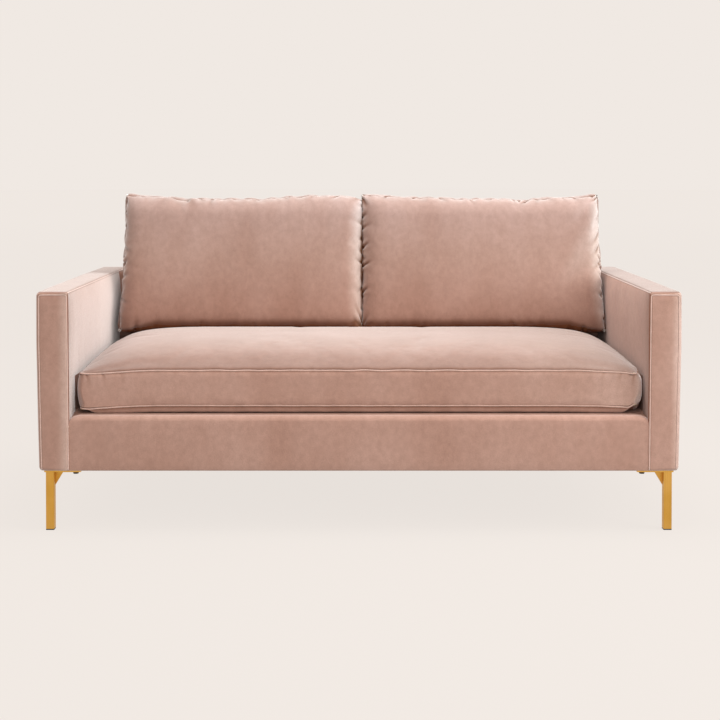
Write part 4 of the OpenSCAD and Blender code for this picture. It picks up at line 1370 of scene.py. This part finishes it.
class FinerShell:
    # the shell after one round of subdivision, with each point's place on the flat shell

    def __init__(self, shell, points):
        mesh = bpy.data.meshes.new("coarseShell")
        mesh.from_pydata(points.tolist(), [], shell.plainQuads)
        place = mesh.attributes.new("flatPlace", "FLOAT_VECTOR", "POINT")
        place.data.foreach_set("vector", shell.flat.ravel())
        work = bpy.data.objects.new("coarseShell", mesh)
        scene.collection.objects.link(work)
        smoothed(work)
        graph = bpy.context.evaluated_depsgraph_get()
        done = work.evaluated_get(graph).to_mesh()
        self.points, self.normals, self.flat = (
            np.empty(len(done.vertices) * 3, np.float32) for _ in range(3))
        done.vertices.foreach_get("co", self.points)
        done.vertex_normals.foreach_get("vector", self.normals)
        done.attributes["flatPlace"].data.foreach_get("vector", self.flat)
        self.points, self.normals, self.flat = (
            a.reshape(-1, 3).astype(float) for a in (self.points, self.normals, self.flat))
        self.quads = [list(p.vertices) for p in done.polygons]
        bpy.data.objects.remove(work)
        self.shell = shell
        half = self.half = shell.half
        self.plan, self.way = shell.planned(self.flat)
        self.height = self.flat[:, 2] / half[2]
        edge = np.minimum(half[0] - np.abs(self.flat[:, 0]), half[1] - np.abs(self.flat[:, 1]))
        self.onBoxing = edge < 1e-5
        self.onFace, self.onRear = self.height > onFinerPanel, self.height < -onFinerPanel
        # how far each point lies from the face's seam and from the rear panel's seam
        self.fromSeam = {
            panel: np.where(self.onBoxing, half[2] - panel * self.flat[:, 2],
                            np.where(onIt, edge, 1.0))
            for panel, onIt in ((1, self.onFace), (-1, self.onRear))}

    def unfolded(self, panel):
        # the places of a panel's points, with the boxing laid out flat round it
        drop = np.where(self.onBoxing, self.half[2] - panel * self.flat[:, 2], 0)
        return self.plan + self.way * drop[:, None]

    def folded(self, panel, folds):
        # folds are (start, end, start width, end width, depth), on the unfolded panel
        spots = self.unfolded(panel)
        height = np.zeros(len(spots))
        aheadShare, aheadLength = foldForm["start"]
        for start, end, narrow, wide, depth in folds:
            start, end = np.array(start), np.array(end)
            length = np.linalg.norm(end - start)
            along = (end - start) / length
            away = spots - start
            run = away @ along / length
            near = (run > -aheadShare - aheadLength / length) & (run < 1.0)
            width = narrow + (wide - narrow) * run[near].clip(0, 1)
            cross = (away[near] @ np.array([-along[1], along[0]])) / width
            fade = smoothStep(run[near], 1.0, foldForm["endFade"]) * np.exp(
                -(np.minimum(run[near], 0) * length / foldForm["startReach"]) ** 2)
            height[near] += (depth * fade * (foldForm["shoulder"] * cross * cross - 1)
                             * np.exp(-cross * cross))
        within = self.fromSeam[panel] < 1.0
        reach = self.half[2] * foldForm["boxingReach"]
        fade = np.where(self.onBoxing, smoothStep(self.fromSeam[panel], reach, 0), 1)
        return height * within * fade

    def seamLoop(self, panel):
        # the numbers of the points along a panel's seam, in order round the cushion
        chosen = np.flatnonzero(self.onBoxing & (self.height * panel > onSeam))
        reach = self.flat[chosen, :2] / self.half[:2]
        return chosen[np.argsort(np.arctan2(reach[:, 1], reach[:, 0]))]


gatherForm = {
    # ranges of random shares, in the order in which they are drawn for each fold
    "start": (0.3, 0.9),
    "size": (0.45, 1.15),
    "width": (0.0050, 0.0068),
    "lean": (-0.7, 0.7),
    "widening": (1.3, 2.2),
    "depth": (0.45, 1.2),
    "step": (0.6, 1.5),
    "leanIn": 0.5,            # towards the middle, in full at the ends of a side
    "endGap": 0.012,
    "overhang": 0.004,        # how far outside the edge a fold starts
}


def edgeGathers(shell, seed, gathers):
    # short folds at uneven steps along each side: {side: (step, reach, depth)}
    dice = random.Random(seed)

    def draw(name):
        return dice.uniform(*gatherForm[name])

    half = shell.half
    folds = []
    for name, (step, reach, depth) in gathers.items():
        axis, end = {"left": (0, -1), "right": (0, 1), "bottom": (1, -1), "top": (1, 1)}[name]
        other = 1 - axis
        at = -half[other] + step * draw("start")
        while at < half[other] - gatherForm["endGap"]:
            start, tip = [0, 0], [0, 0]
            start[axis] = end * (half[axis] + gatherForm["overhang"])
            start[other] = at
            size = draw("size")
            tip[axis] = end * (half[axis] - reach * size)
            narrow = draw("width")
            lean = draw("lean") - gatherForm["leanIn"] * at / half[other]
            tip[other] = at + reach * size * lean
            folds.append((start, tip, narrow, narrow * draw("widening"), depth * draw("depth")))
            at += step * draw("step")
    return folds


def loftSeam(name, points, shifts, loops, radius, body, paint, pressed):
    parts = []
    sides = 6
    for loop, shift in zip(loops, shifts):
        path = points[loop] + shift
        path = (np.roll(path, 1, 0) + 2 * path + np.roll(path, -1, 0)) / 4
        parts.append(tube(path, radius, sides, closed=True))
    piece = addPiece(name, *joinParts(parts), paint, body, "velvet")
    # painted shade on the seam where the cushion is pressed
    piece.data.materials.append(velvetGapShade)
    paints = np.concatenate([pressed[loop] for loop in loops]).repeat(sides)
    piece.data.polygons.foreach_set("material_index", paints.astype(int))


markLook = {
    # painted shade in folds and beside seams, painted highlight on fold ridges
    "creaseDepth": 0.0036,
    "ridgeHeight": 0.0018,
    "ridgeShare": 0.40,
    "seamReach": 0.0045,
    "seamShare": 0.9,
    # the dark line is painted shade: a darker tube laid below the seam
    "grooveSink": 0.2,        # shares of the seam's own size: how deep the dark line
    "grooveSize": 0.75,       # beside it lies and how thick it is
}


def pileMarks(finer, height, ridge=0, crease=0):
    # painted shade and painted highlight, as shares from 0 to 1: how deep in a crease, how near a
    # seam or how high on a ridge each point lies
    onUpper, onLower = (np.exp(-(finer.fromSeam[panel] / markLook["seamReach"]) ** 2)
                        for panel in (1, -1))
    seamShade = onUpper * finer.onBoxing + onLower * finer.onRear
    crease = crease + np.clip(-height / markLook["creaseDepth"], 0, 1)
    crease += markLook["seamShare"] * seamShade
    ridge = ridge + markLook["ridgeShare"] * np.clip(height / markLook["ridgeHeight"], 0, 1)
    return {"crease": np.clip(crease, 0, 1), "ridge": np.clip(ridge, 0, 1)}


def addCushion(name, finer, points, normals, body, mirrored, look, outward, marks, pressed):
    # the velvet cover with a raised seam round each panel and a line of painted shade beside it,
    # with painted shade where it is pressed
    quads = [list(reversed(q)) for q in finer.quads] if mirrored else finer.quads
    cover = addPiece(name + "_velvet", points, quads, look["sidePaint"], body, "velvet")
    for paint in (look["facePaint"], look["rearPaint"], velvetGapShade):
        cover.data.materials.append(paint)
    height = finer.height[quads].mean(axis=1)
    paints = np.where(height > onPanel, 1, np.where(height < -onPanel, 2, 0))
    paints[pressed[quads].mean(axis=1) > 0.5] = 3
    cover.data.polygons.foreach_set("material_index", paints)
    addMarks(cover, "POINT", marks)
    loops = [finer.seamLoop(1), finer.seamLoop(-1)]
    lifts = [normals[loop] * look["seamLift"] for loop in loops]
    loftSeam(name + "_seams", points, lifts, loops, look["seamSize"], body, look["seamPaint"],
             pressed)
    drops = [-panel * outward * look["creaseDrop"]
             - normals[loop] * look["seamSize"] * markLook["grooveSink"]
             for panel, loop in zip((1, -1), loops)]
    loftSeam(name + "_creases", points, drops, loops, look["seamSize"] * markLook["grooveSize"],
             body, look["creasePaint"], pressed)
    return cover, quads


fillingForm = {
    "depth": 0.004,           # below the outside of the velvet
    "easeRounds": 9,          # rounds of averaging, so that no thin corner pokes through
}


def addFilling(name, points, normals, quads, paint, body, slot, node):
    # the cover's own form, with its corners eased and drawn in under the velvet
    corners = np.array(quads)
    sides = np.concatenate([corners[:, [k, (k + 1) % 4]] for k in range(4)])
    edges = np.unique(np.sort(sides, axis=1), axis=0)
    eased = averaged(points, edges, fillingForm["easeRounds"])
    filling = addPiece(name, eased - normals * fillingForm["depth"], quads, paint, body, slot)
    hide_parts(node)


zipLook = {
    "halfWidth": 0.013,
    "lift": 0.0005,           # from the middle of the CAD tape out to the bed
    "station": 0.02,
    "endGap": 0.006,          # between the tape's ends and the teeth
    "stitchShare": 0.7,       # of the size of the covers' stitches
    "slit": 0.0009,
    "bedReach": 0.006,        # the velvet lies level this far round the tape
    "bedDepth": 0.0004,
    "thickness": 0.0006,
    "pitch": 0.0030,
    "toothReach": (-0.0011, 0.0026),
    "toothRadius": 0.00055,
    "toothDepth": 0.0003,
    "stitchInset": 0.0105,
}


def zipBed(node, outward, across):
    low, high = boxOf(node)
    face = (low + high) / 2 + outward * zipLook["lift"]
    return face, outward, across, high[0] - low[0]


def laidOnBed(points, chosen, face, outward, across, length):
    # the boxing lies level under the zip's tape
    away = points - face
    reach = zipLook["bedReach"]
    beside = np.abs(away @ across) - zipLook["halfWidth"]
    beyond = np.abs(away[:, 0]) - length / 2
    level = smoothStep(np.maximum(beside, beyond), reach, 0) * chosen
    lift = -zipLook["bedDepth"] - away @ outward
    return points + np.outer(level * lift, outward)


def addZip(name, node, body, face, outward, across, length):
    half = length / 2
    lengthwise = np.array([1.0, 0, 0])
    width, slit = zipLook["halfWidth"], zipLook["slit"]
    stations = np.linspace(-half, half, round(length / zipLook["station"]))
    strips, teeth, rows = [], [], []
    for side in (-1, 1):
        # across the tape from its slit out, and up from the bed
        profile = [(slit, -0.0004), (slit + 0.0012, 0.0), (width * 0.5, -0.0001),
                   (width - 0.001, 0.0), (width, -0.0005)]
        points = [face + lengthwise * x + across * (side * a) + outward * h
                  for x in stations for a, h in profile]
        strips.append((points, [q if side < 0 else q[::-1]
                                for q in gridSheet(len(stations), len(profile))]))
        row = [face + lengthwise * x + across * side * zipLook["stitchInset"] for x in stations]
        rows.append(stitchRow(np.array(row), seam["stitchPitch"], seam["stitchLength"],
                              seam["stitchRadius"] * zipLook["stitchShare"]))
    tape = addPiece(name + "_cloth", *joinParts(strips), zipCloth, body, "webbing")
    thickened(tape, zipLook["thickness"])
    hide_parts(node)
    start, end = zipLook["toothReach"]
    gap = zipLook["endGap"]
    for number in range(int((length - 2 * gap) / zipLook["pitch"])):
        side = -1 if number % 2 else 1
        at = face + lengthwise * (number * zipLook["pitch"] + gap - half)
        at = at - outward * zipLook["toothDepth"]
        teeth.append(tube([at + across * side * start, at + across * side * end],
                          zipLook["toothRadius"], 6))
    addPiece(name + "_teeth", *joinParts(teeth), zipBrass, body, "zip_metal")
    addPiece(name + "_stitches", *joinParts(rows), stitchThread, body, "velvet")


seatBox = boxOf("seat_cushion_cover")
seatCut = {
    "boxing": 0.1004, "corner": 0.028, "cell": 0.012, "rows": 9,
    "crown": 0.057, "belly": 0.004, "powers": (10, 3.2), "swell": 0.006,
    "rolls": ((0, 0, 0.01), (0.014, 0.022, 0.030)), "calm": 0.6,
    "waist": 0.0, "taper": 0.0, "sideShares": (1, 0), "wrinkleCap": 0.003,
    "bellyPowers": (30, 30), "ease": 0.010, "settled": 0.0,
    "trim": 0.014,            # taken off its width for the gaps beside the arms
    "middleHeight": 0.3792,
}
seatCut["width"] = seatBox[1][0] - seatBox[0][0] - 2 * seatCut["swell"]
seatCut["depth"] = seatBox[1][1] - seatBox[0][1] - seatCut["swell"]
seatMiddle = np.array([0, seatBox[1][1] - seatCut["depth"] / 2, seatCut["middleHeight"]])
seatCut["floor"] = seatBox[0][2] - seatMiddle[2]
seatCut["width"] += seatCut["ease"] - seatCut["trim"]
seatCut["depth"] += seatCut["ease"] / 2
seatMiddle[1] -= seatCut["ease"] / 4

seatLook = {
    "growth": 0.03,
    "gain": 1.0,
    "broadShare": 0.0,
    "shift": 0.003,           # it sits a little towards the right arm
    # painted highlight on its top towards the right end
    "rightHighlight": 0.45,
    "rightHighlightRange": (0.4, 0.95),
    "sideLightAndShade": (0.8, 0.1),    # painted highlight on the end facing right, painted shade on the end facing left
    "sideLightAndShadeRange": (0.15, 0.9),
    "contactReach": (0.012, 0.026),
    "contactShade": 0.8,
    "endGapShade": 0.022,      # painted shade on its ends this far behind the front, where the arms press on them
    "endBand": 0.001,
    "grooveDepth": 0.0014,
    "grooveWidth": 0.005,
    "seamSize": 0.0019,
    "seamLift": 0.0004,
    "creaseDrop": 0.0032,
    "facePaint": velvetSeatShaded,
    "seamPaint": velvetFoldHighlight,
    "creasePaint": velvetCreaseShade,
    "sidePaint": velvetCloth,
    "rearPaint": velvetShadedUnder,
    "seeds": (31, 32),
    "rearGatherShare": 0.5,
    "endReach": 0.26,         # how far from each end the upper seam starts to sag
    "sagPower": 1.5,
    "sagRange": (-1.0, 0.6),  # from the lower seam up
    "frontShare": 0.2,        # the sag begins at this share of the depth behind the middle
    "leftSag": 0.009,
    "rightSag": 0.005,
    "bottomSag": (0.008, 0.003),  # how far the lower seam sags towards the ends
    "bottomRise": (0.003, 0.012),  # and the lower front corners curl up
    "bellyReach": (0.060, 0.012),  # where the belly draws level with the seam at the corners
    # painted highlight on the boxing towards the right end
    "rightEndHighlight": 0.22,
    "rightEndHighlightRange": (0.3, 1.0),
    "curlRange": (0.2, -1.0),
    "curlReach": 0.04,
    "rearDip": 0.0035,        # room for the zip sliders of the back cushions, out of sight
    "rearDipFrom": (0.182, 0.202),
    "bottomReach": 0.034,
    "cornerPull": (0.003, 0.011),  # how far the seams' front corners are drawn in
    "cornerDrop": 0.005,
    "pullReach": 0.055,
    "gathers": {"left": (0.075, 0.05, 0.0010), "right": (0.075, 0.05, 0.0010),
                "bottom": (0.16, 0.04, 0.0006), "top": (0.12, 0.04, 0.0006)},
    # a front fold's drift towards the middle, its widths and how far outside the edge it starts
    "frontFoldForm": (0.997, 0.006, 0.012, 0.004),
    "frontFolds": [
        # across the front from its middle, reach down the boxing, depth
        (-0.735, 0.060, 0.0016), (-0.690, 0.045, 0.0010), (-0.640, 0.050, 0.0007),
        (0.742, 0.060, 0.0018), (0.700, 0.050, 0.0012), (0.655, 0.040, 0.0008),
    ],
}


def buildSeat():
    look = seatLook
    shell = CushionShell(seatCut)
    finer = FinerShell(shell, stuffed(shell, look["growth"], look["gain"], look["broadShare"]))
    half = finer.half
    folds, rearFolds = (edgeGathers(shell, seed, look["gathers"]) for seed in look["seeds"])
    drift, narrow, wide, overhang = look["frontFoldForm"]
    for at, reach, depth in look["frontFolds"]:
        folds.append(((at, -half[1] - overhang), (at * drift, -half[1] - reach),
                      narrow, wide, depth))
    height = finer.folded(1, folds) + look["rearGatherShare"] * finer.folded(-1, rearFolds)
    across = finer.flat[:, 0] / half[0]
    # painted highlight towards the right and on the end facing right, painted shade on the end
    # facing left and along the belly's contact
    toRight = look["rightHighlight"] * smoothStep(across, *look["rightHighlightRange"])
    paintedHighlight, endShade = (share * smoothStep(sign * finer.normals[:, 0], *look["sideLightAndShadeRange"])
                  * finer.onBoxing for share, sign in zip(look["sideLightAndShade"], (1, -1)))
    paintedHighlight += look["rightEndHighlight"] * smoothStep(across, *look["rightEndHighlightRange"]) * finer.onBoxing
    below = finer.onRear * finer.fromSeam[-1]
    marks = pileMarks(finer, height, toRight * finer.onFace + paintedHighlight,
                      endShade + look["contactShade"] * smoothStep(below, *look["contactReach"]))
    # painted shade on the ends beside the arms and under the belly
    pressed = ((np.abs(finer.flat[:, 0]) > half[0] - look["endBand"])
               & (finer.flat[:, 1] > look["endGapShade"] - half[1]) & finer.onBoxing)
    pressed |= below > look["contactReach"][1]
    for panel in (1, -1):
        height -= look["grooveDepth"] * np.exp(
            -(finer.fromSeam[panel] / look["grooveWidth"]) ** 2)
    points = finer.points + finer.normals * height[:, None]
    # the seams sag towards the ends, and the lower front corners curl up
    share = smoothStep(np.abs(points[:, 0]), half[0] - look["endReach"], half[0])
    share = share ** look["sagPower"]
    sag = np.where(points[:, 0] < 0, look["leftSag"], look["rightSag"]) * share
    upper = smoothStep(finer.height, *look["sagRange"])
    nearFront = smoothStep(points[:, 1], half[1] * look["frontShare"], -half[1])
    points[:, 2] -= sag * upper * nearFront
    corner = np.hypot(half[0] - np.abs(points[:, 0]), half[1] + points[:, 1])
    onLeft = points[:, 0] < 0
    curl = np.where(onLeft, *look["bottomRise"]) * smoothStep(corner, look["bottomReach"], 0.0)
    curl -= np.where(onLeft, *look["bottomSag"]) * share * nearFront
    points[:, 2] -= ((points[:, 2] + half[2]) * smoothStep(corner, *look["bellyReach"])
                     * finer.onRear)
    points[:, 2] += (curl * smoothStep(finer.height, *look["curlRange"])
                     * (finer.fromSeam[-1] < look["curlReach"]))
    near = smoothStep(corner, look["pullReach"], 0.0)
    points[:, 2] -= look["cornerDrop"] * near * (points[:, 0] > 0) * smoothStep(finer.height, 0, 1)
    points[:, 0] -= (np.where(points[:, 0] < 0, *(np.array(look["cornerPull"]) * (-1, 1)))
                     * near * finer.height ** 4)
    points += seatMiddle + (look["shift"], 0, 0)
    points[:, 2] -= (look["rearDip"] * smoothStep(points[:, 1], *look["rearDipFrom"])
                     * finer.onFace)
    low, high = seatBox
    points[:, 0] = points[:, 0].clip(low[0] + 0.0005, high[0] - 0.0002)
    points[:, 1] = points[:, 1].clip(low[1], high[1])
    points[:, 2] = np.maximum(points[:, 2], low[2] + 0.0002)
    bed = zipBed("seat_zip_tape", np.array([0, 1.0, 0]), np.array([0, 0, 1.0]))
    points = laidOnBed(points, finer.onBoxing & (finer.flat[:, 1] > half[1] * 0.9), *bed)
    addZip("seat_zip", "seat_zip_tape", "seat_cushion", *bed)
    normals = meshNormals(points, finer.quads)
    cover, quads = addCushion("seat_cushion", finer, points, normals, "seat_cushion", False,
                              look, np.array([0.0, 0.0, 1.0]), marks, pressed)
    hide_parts("seat_cushion_cover")
    addFilling("seat_cushion_foam", points, normals, quads, foamCells,
               "seat_cushion", "foam", "seat_cushion_core")
    return BVHTree.FromPolygons([tuple(p) for p in points], quads)


pillowCut = {
    "depth": 0.416, "boxing": 0.092, "corner": 0.018, "cell": 0.0072, "rows": 10,
    "crown": 0.012, "belly": 0.010, "powers": (3, 3), "swell": 0.008, "waist": 0.004,
    # how each panel rolls over to its seam: its inset, its rise and the cloth it takes
    "rolls": ((0.056, 0.036, 0.076), (0.030, 0.020, 0.042)), "calm": 0.15,
    "taper": 0.020, "sideShares": (0, 1), "floor": -1.0, "wrinkleCap": 0.004,
    "bellyPowers": (3, 3), "outward": 0.014, "settled": 0.22,
    "ease": 0.007,            # added all round for what the seams draw in
}
pillowLook = {
    "lean": math.radians(7),
    "growth": 0.045,
    "gain": 0.8,
    "broadShare": 0.0,
    "grooveDepth": 0.0018,
    "grooveWidth": 0.006,
    "seamSize": 0.0010,
    "seamLift": -0.0004,
    "creaseDrop": 0.0022,
    "facePaint": velvetPillow,
    "seamPaint": velvetBoxing,
    "creasePaint": velvetSeamShade,
    "sidePaint": velvetBoxing,
    "pressedReach": 0.015,    # painted shade this near to its inner side, where its neighbour presses on it
    "restReach": (3.0, 1.4),  # and its foot up to so many times that height, inside and outside
    "restRange": (0.6, 0.95),
    "shadeReach": 1.5,        # painted shade darkens towards it over half as much again
    "rearPaint": velvetPillow,
    "earReach": 0.026,
    "earLean": 0.4,           # outwards, against how far they stand up
    "topRange": (0.55, 1.0),
    "pullRange": (0.8, 1.0),
    "planeGap": 0.0004,
    "footShare": 0.7,         # only points below this share can reach the seat cushion
    "clearance": 0.0006,
    "sharedPlane": 0.010,     # where the two back cushions press against each other
    "innerPull": 0.0050,
    # painted highlight on sides that face right, painted shade on sides that face left
    "rightHighlight": 1.0,
    "rightHighlightRange": (0.15, 0.8),
    "leftShade": 0.25,
    "leftShadeRange": (0.1, 0.8),
    "highlightBandRise": (-0.4, 0.1),
    "gathers": {"right": (0.038, 0.058, 0.0036), "bottom": (0.034, 0.066, 0.0032),
                "top": (0.055, 0.055, 0.0024)},
    "rearGathers": {"left": (0.06, 0.05, 0.003), "right": (0.06, 0.05, 0.003),
                    "bottom": (0.05, 0.05, 0.003), "top": (0.07, 0.05, 0.003)},
}
# Left and right cushion: where the top edge rises and dips, as shares across from the inner
# side and heights, then folds as (start, end, widths, depth) with shares from the middle
pillowCharacter = {
    "left": {
        "seed": 41,
        "innerGathers": (0.050, 0.055, 0.0028),
        "highlightBand": (-1.0, 0.0, 0.5, 0.0),
        "ears": (0.0, 0.009),
        "topLine": [(0.0, -0.016), (0.02, -0.010), (0.05, -0.003), (0.09, 0.002),
                    (0.20, 0.006), (0.33, 0.002),
                    (0.43, -0.004), (0.55, -0.003), (0.63, -0.004), (0.70, -0.003),
                    (0.74, -0.007), (0.81, 0.001), (0.92, 0.001), (1.0, 0.001)],
        "folds": [
            ((1.0, -0.02), (0.88, 0.07), 0.005, 0.009, 0.0045),
            ((1.0, 0.02), (0.90, -0.05), 0.005, 0.008, 0.003),
            ((-1.0, -1.0), (-0.84, -0.62), 0.006, 0.010, 0.0065),
            ((-1.0, -0.90), (-0.86, -0.44), 0.006, 0.010, 0.0040),
            ((-0.97, -1.0), (-0.80, -0.80), 0.006, 0.010, 0.0045),
            ((-1.0, 0.10), (-0.90, 0.22), 0.006, 0.012, 0.0025),
            ((0.47, 1.02), (0.36, 0.68), 0.008, 0.024, 0.0025),
            ((0.36, 1.02), (0.28, 0.74), 0.007, 0.020, 0.0018),
            ((-0.12, 1.02), (-0.08, 0.80), 0.007, 0.018, 0.0018),
            ((0.45, -1.0), (0.42, -0.80), 0.006, 0.012, 0.0035),
            ((0.15, -1.0), (0.12, -0.78), 0.006, 0.013, 0.003),
            ((1.0, 0.90), (0.93, 0.80), 0.006, 0.009, 0.003),
        ],
    },
    "right": {
        "seed": 42,
        "innerGathers": (0.044, 0.060, 0.0036),
        # painted highlight beyond a slanting line: its place, slope and softness and how much
        "highlightBand": (0.60, 0.32, 0.14, 0.30),
        "ears": (0.002, 0.006),
        "topLine": [(0.0, 0.003), (0.08, 0.004), (0.16, 0.001), (0.30, -0.001),
                    (0.45, -0.003), (0.58, -0.003), (0.63, -0.005), (0.66, -0.010),
                    (0.70, -0.009), (0.74, -0.004), (0.80, -0.001), (0.88, -0.003),
                    (0.95, 0.000), (1.0, 0.003)],
        "folds": [
            ((0.40, 1.02), (0.30, 0.78), 0.006, 0.010, 0.005),
            ((0.32, 1.02), (0.30, 0.84), 0.005, 0.008, 0.003),
            ((0.46, 1.02), (0.42, 0.78), 0.007, 0.014, 0.002),
            ((-1.0, 1.0), (-0.87, 0.68), 0.007, 0.012, 0.0070),
            ((-1.0, 0.58), (-0.88, 0.66), 0.006, 0.009, 0.0050),
            ((-1.0, 0.18), (-0.86, 0.30), 0.005, 0.009, 0.0055),
            ((-1.0, -0.06), (-0.85, 0.05), 0.005, 0.009, 0.0060),
            ((-1.0, -0.40), (-0.87, -0.28), 0.005, 0.009, 0.0060),
            ((-1.0, -0.98), (-0.84, -0.72), 0.006, 0.010, 0.0065),
            ((-0.98, -1.0), (-0.88, -0.58), 0.006, 0.010, 0.0045),
            ((1.0, -0.06), (0.90, 0.06), 0.006, 0.009, 0.006),
            ((1.0, 0.02), (0.89, 0.13), 0.005, 0.009, 0.005),
            ((0.96, 0.90), (0.72, 0.20), 0.016, 0.040, 0.0012),
        ],
    },
}


def buildPillow(side, word, seatTop):
    look, character = pillowLook, pillowCharacter[word]
    body = "back_cushion_" + word
    low, high = boxOf("back_cushion_cover_" + word)
    cut = dict(pillowCut)
    plainWidth = high[0] - low[0] - cut["taper"] / 2
    cut["width"] = plainWidth + cut["ease"] + cut["outward"]
    cut["depth"] += cut["ease"]
    inner = low[0] if side > 0 else high[0]
    up = np.array([0, math.sin(look["lean"]), math.cos(look["lean"])])
    forward = np.array([0, -math.cos(look["lean"]), math.sin(look["lean"])])

    def turned(points):
        return points[:, :1] * (side, 0, 0) + points[:, 1:2] * up + points[:, 2:] * forward

    shell = CushionShell(cut)
    plain = turned(shell.local)
    middle = np.array([inner + side * (plainWidth + cut["outward"]) / 2,
                       high[1] - plain[:, 1].max(), high[2] - plain[:, 2].max()])
    finer = FinerShell(shell, stuffed(shell, look["growth"], look["gain"], look["broadShare"]))
    half = finer.half
    folds = edgeGathers(shell, character["seed"],
                        {"left": character["innerGathers"], **look["gathers"]})
    for start, tip, narrow, wide, depth in character["folds"]:
        folds.append((start * half[:2], tip * half[:2], narrow, wide, depth))
    height = finer.folded(1, folds)
    height += finer.folded(-1, edgeGathers(shell, character["seed"] + 10, look["rearGathers"]))
    # painted highlight on sides that face the right arm and beyond a slanting line, painted shade
    # on sides that face left and towards where it rests and is pressed
    toRight = side * finer.normals[:, 0] * finer.onFace
    start, slope, width, share = character["highlightBand"]
    u, v = finer.flat[:, 0] / half[0], finer.flat[:, 1] / half[1]
    inside, outside = look["restReach"]
    restReach = inside + (outside - inside) * smoothStep(u, *look["restRange"])
    highlightBand = share * (smoothStep(u - start - slope * v, 0, width)
                       * smoothStep(v, *look["highlightBandRise"]) * finer.onFace)
    fromContact = np.minimum(half[0] + finer.flat[:, 0],
                             (half[1] + finer.flat[:, 1]) / restReach)
    reach = look["pressedReach"]
    marks = pileMarks(finer, height,
                      look["rightHighlight"] * smoothStep(toRight, *look["rightHighlightRange"]) + highlightBand,
                      look["leftShade"] * smoothStep(-toRight, *look["leftShadeRange"])
                      + smoothStep(fromContact, reach * look["shadeReach"], reach))
    pressed = fromContact < reach
    for panel in (1, -1):
        height -= look["grooveDepth"] * np.exp(
            -(finer.fromSeam[panel] / look["grooveWidth"]) ** 2)
    points = finer.points + finer.normals * height[:, None]
    # the top edge rises and dips, and its corners stand up as ears
    places, rises = zip(*character["topLine"])
    rise = np.interp((u + 1) / 2, places, rises)
    points[:, 1] += rise * smoothStep(v, *look["topRange"])
    for end, size in zip((-1, 1), character["ears"]):
        tip = np.array([end * half[0], half[1]])
        away = np.linalg.norm(finer.flat[:, :2] - tip, axis=1)
        points[:, :2] += np.outer(np.exp(-(away / look["earReach"]) ** 2),
                                  (end * look["earLean"], 1.0)) * size
    points = turned(points) + middle
    # it rests on the seat cushion, leans on the back and keeps clear of its neighbour
    clearance = look["clearance"]
    pull = look["innerPull"] * smoothStep(-u, *look["pullRange"])
    points[:, 0] = side * np.maximum(side * points[:, 0] - pull,
                                     side * look["sharedPlane"] + look["planeGap"])
    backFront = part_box("back_cover")[0].y - clearance
    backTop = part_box("back_cover")[1].z
    behind = (points[:, 2] < backTop) & (points[:, 1] > backFront)
    points[behind, 1] = backFront
    down = Vector((0, 0, -1))
    for i in np.flatnonzero(finer.flat[:, 1] < -half[1] * look["footShare"]):
        hit = seatTop.ray_cast(Vector((*points[i, :2], 1.0)), down)[0]
        if hit and points[i, 2] < hit.z + clearance:
            points[i, 2] = hit.z + clearance
    bed = zipBed("back_zip_tape_" + word, -up, forward)
    points = laidOnBed(points, finer.onBoxing & (finer.flat[:, 1] < -half[1] * 0.9), *bed)
    quads = [list(reversed(q)) for q in finer.quads] if side < 0 else finer.quads
    normals = meshNormals(points, quads)
    cover, quads = addCushion(body, finer, points, normals, body, side < 0, look, forward,
                              marks, pressed)
    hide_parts("back_cushion_cover_" + word)
    addZip("back_zip_" + word, "back_zip_tape_" + word, body, *bed)
    addFilling(body + "_fibre", points, normals, quads, fibreFill,
               body, "fibre_fill", "back_cushion_fill_" + word)


seatTop = buildSeat()
for side, word in ((-1, "left"), (1, "right")):
    buildPillow(side, word, seatTop)
print("cushions stuffed")
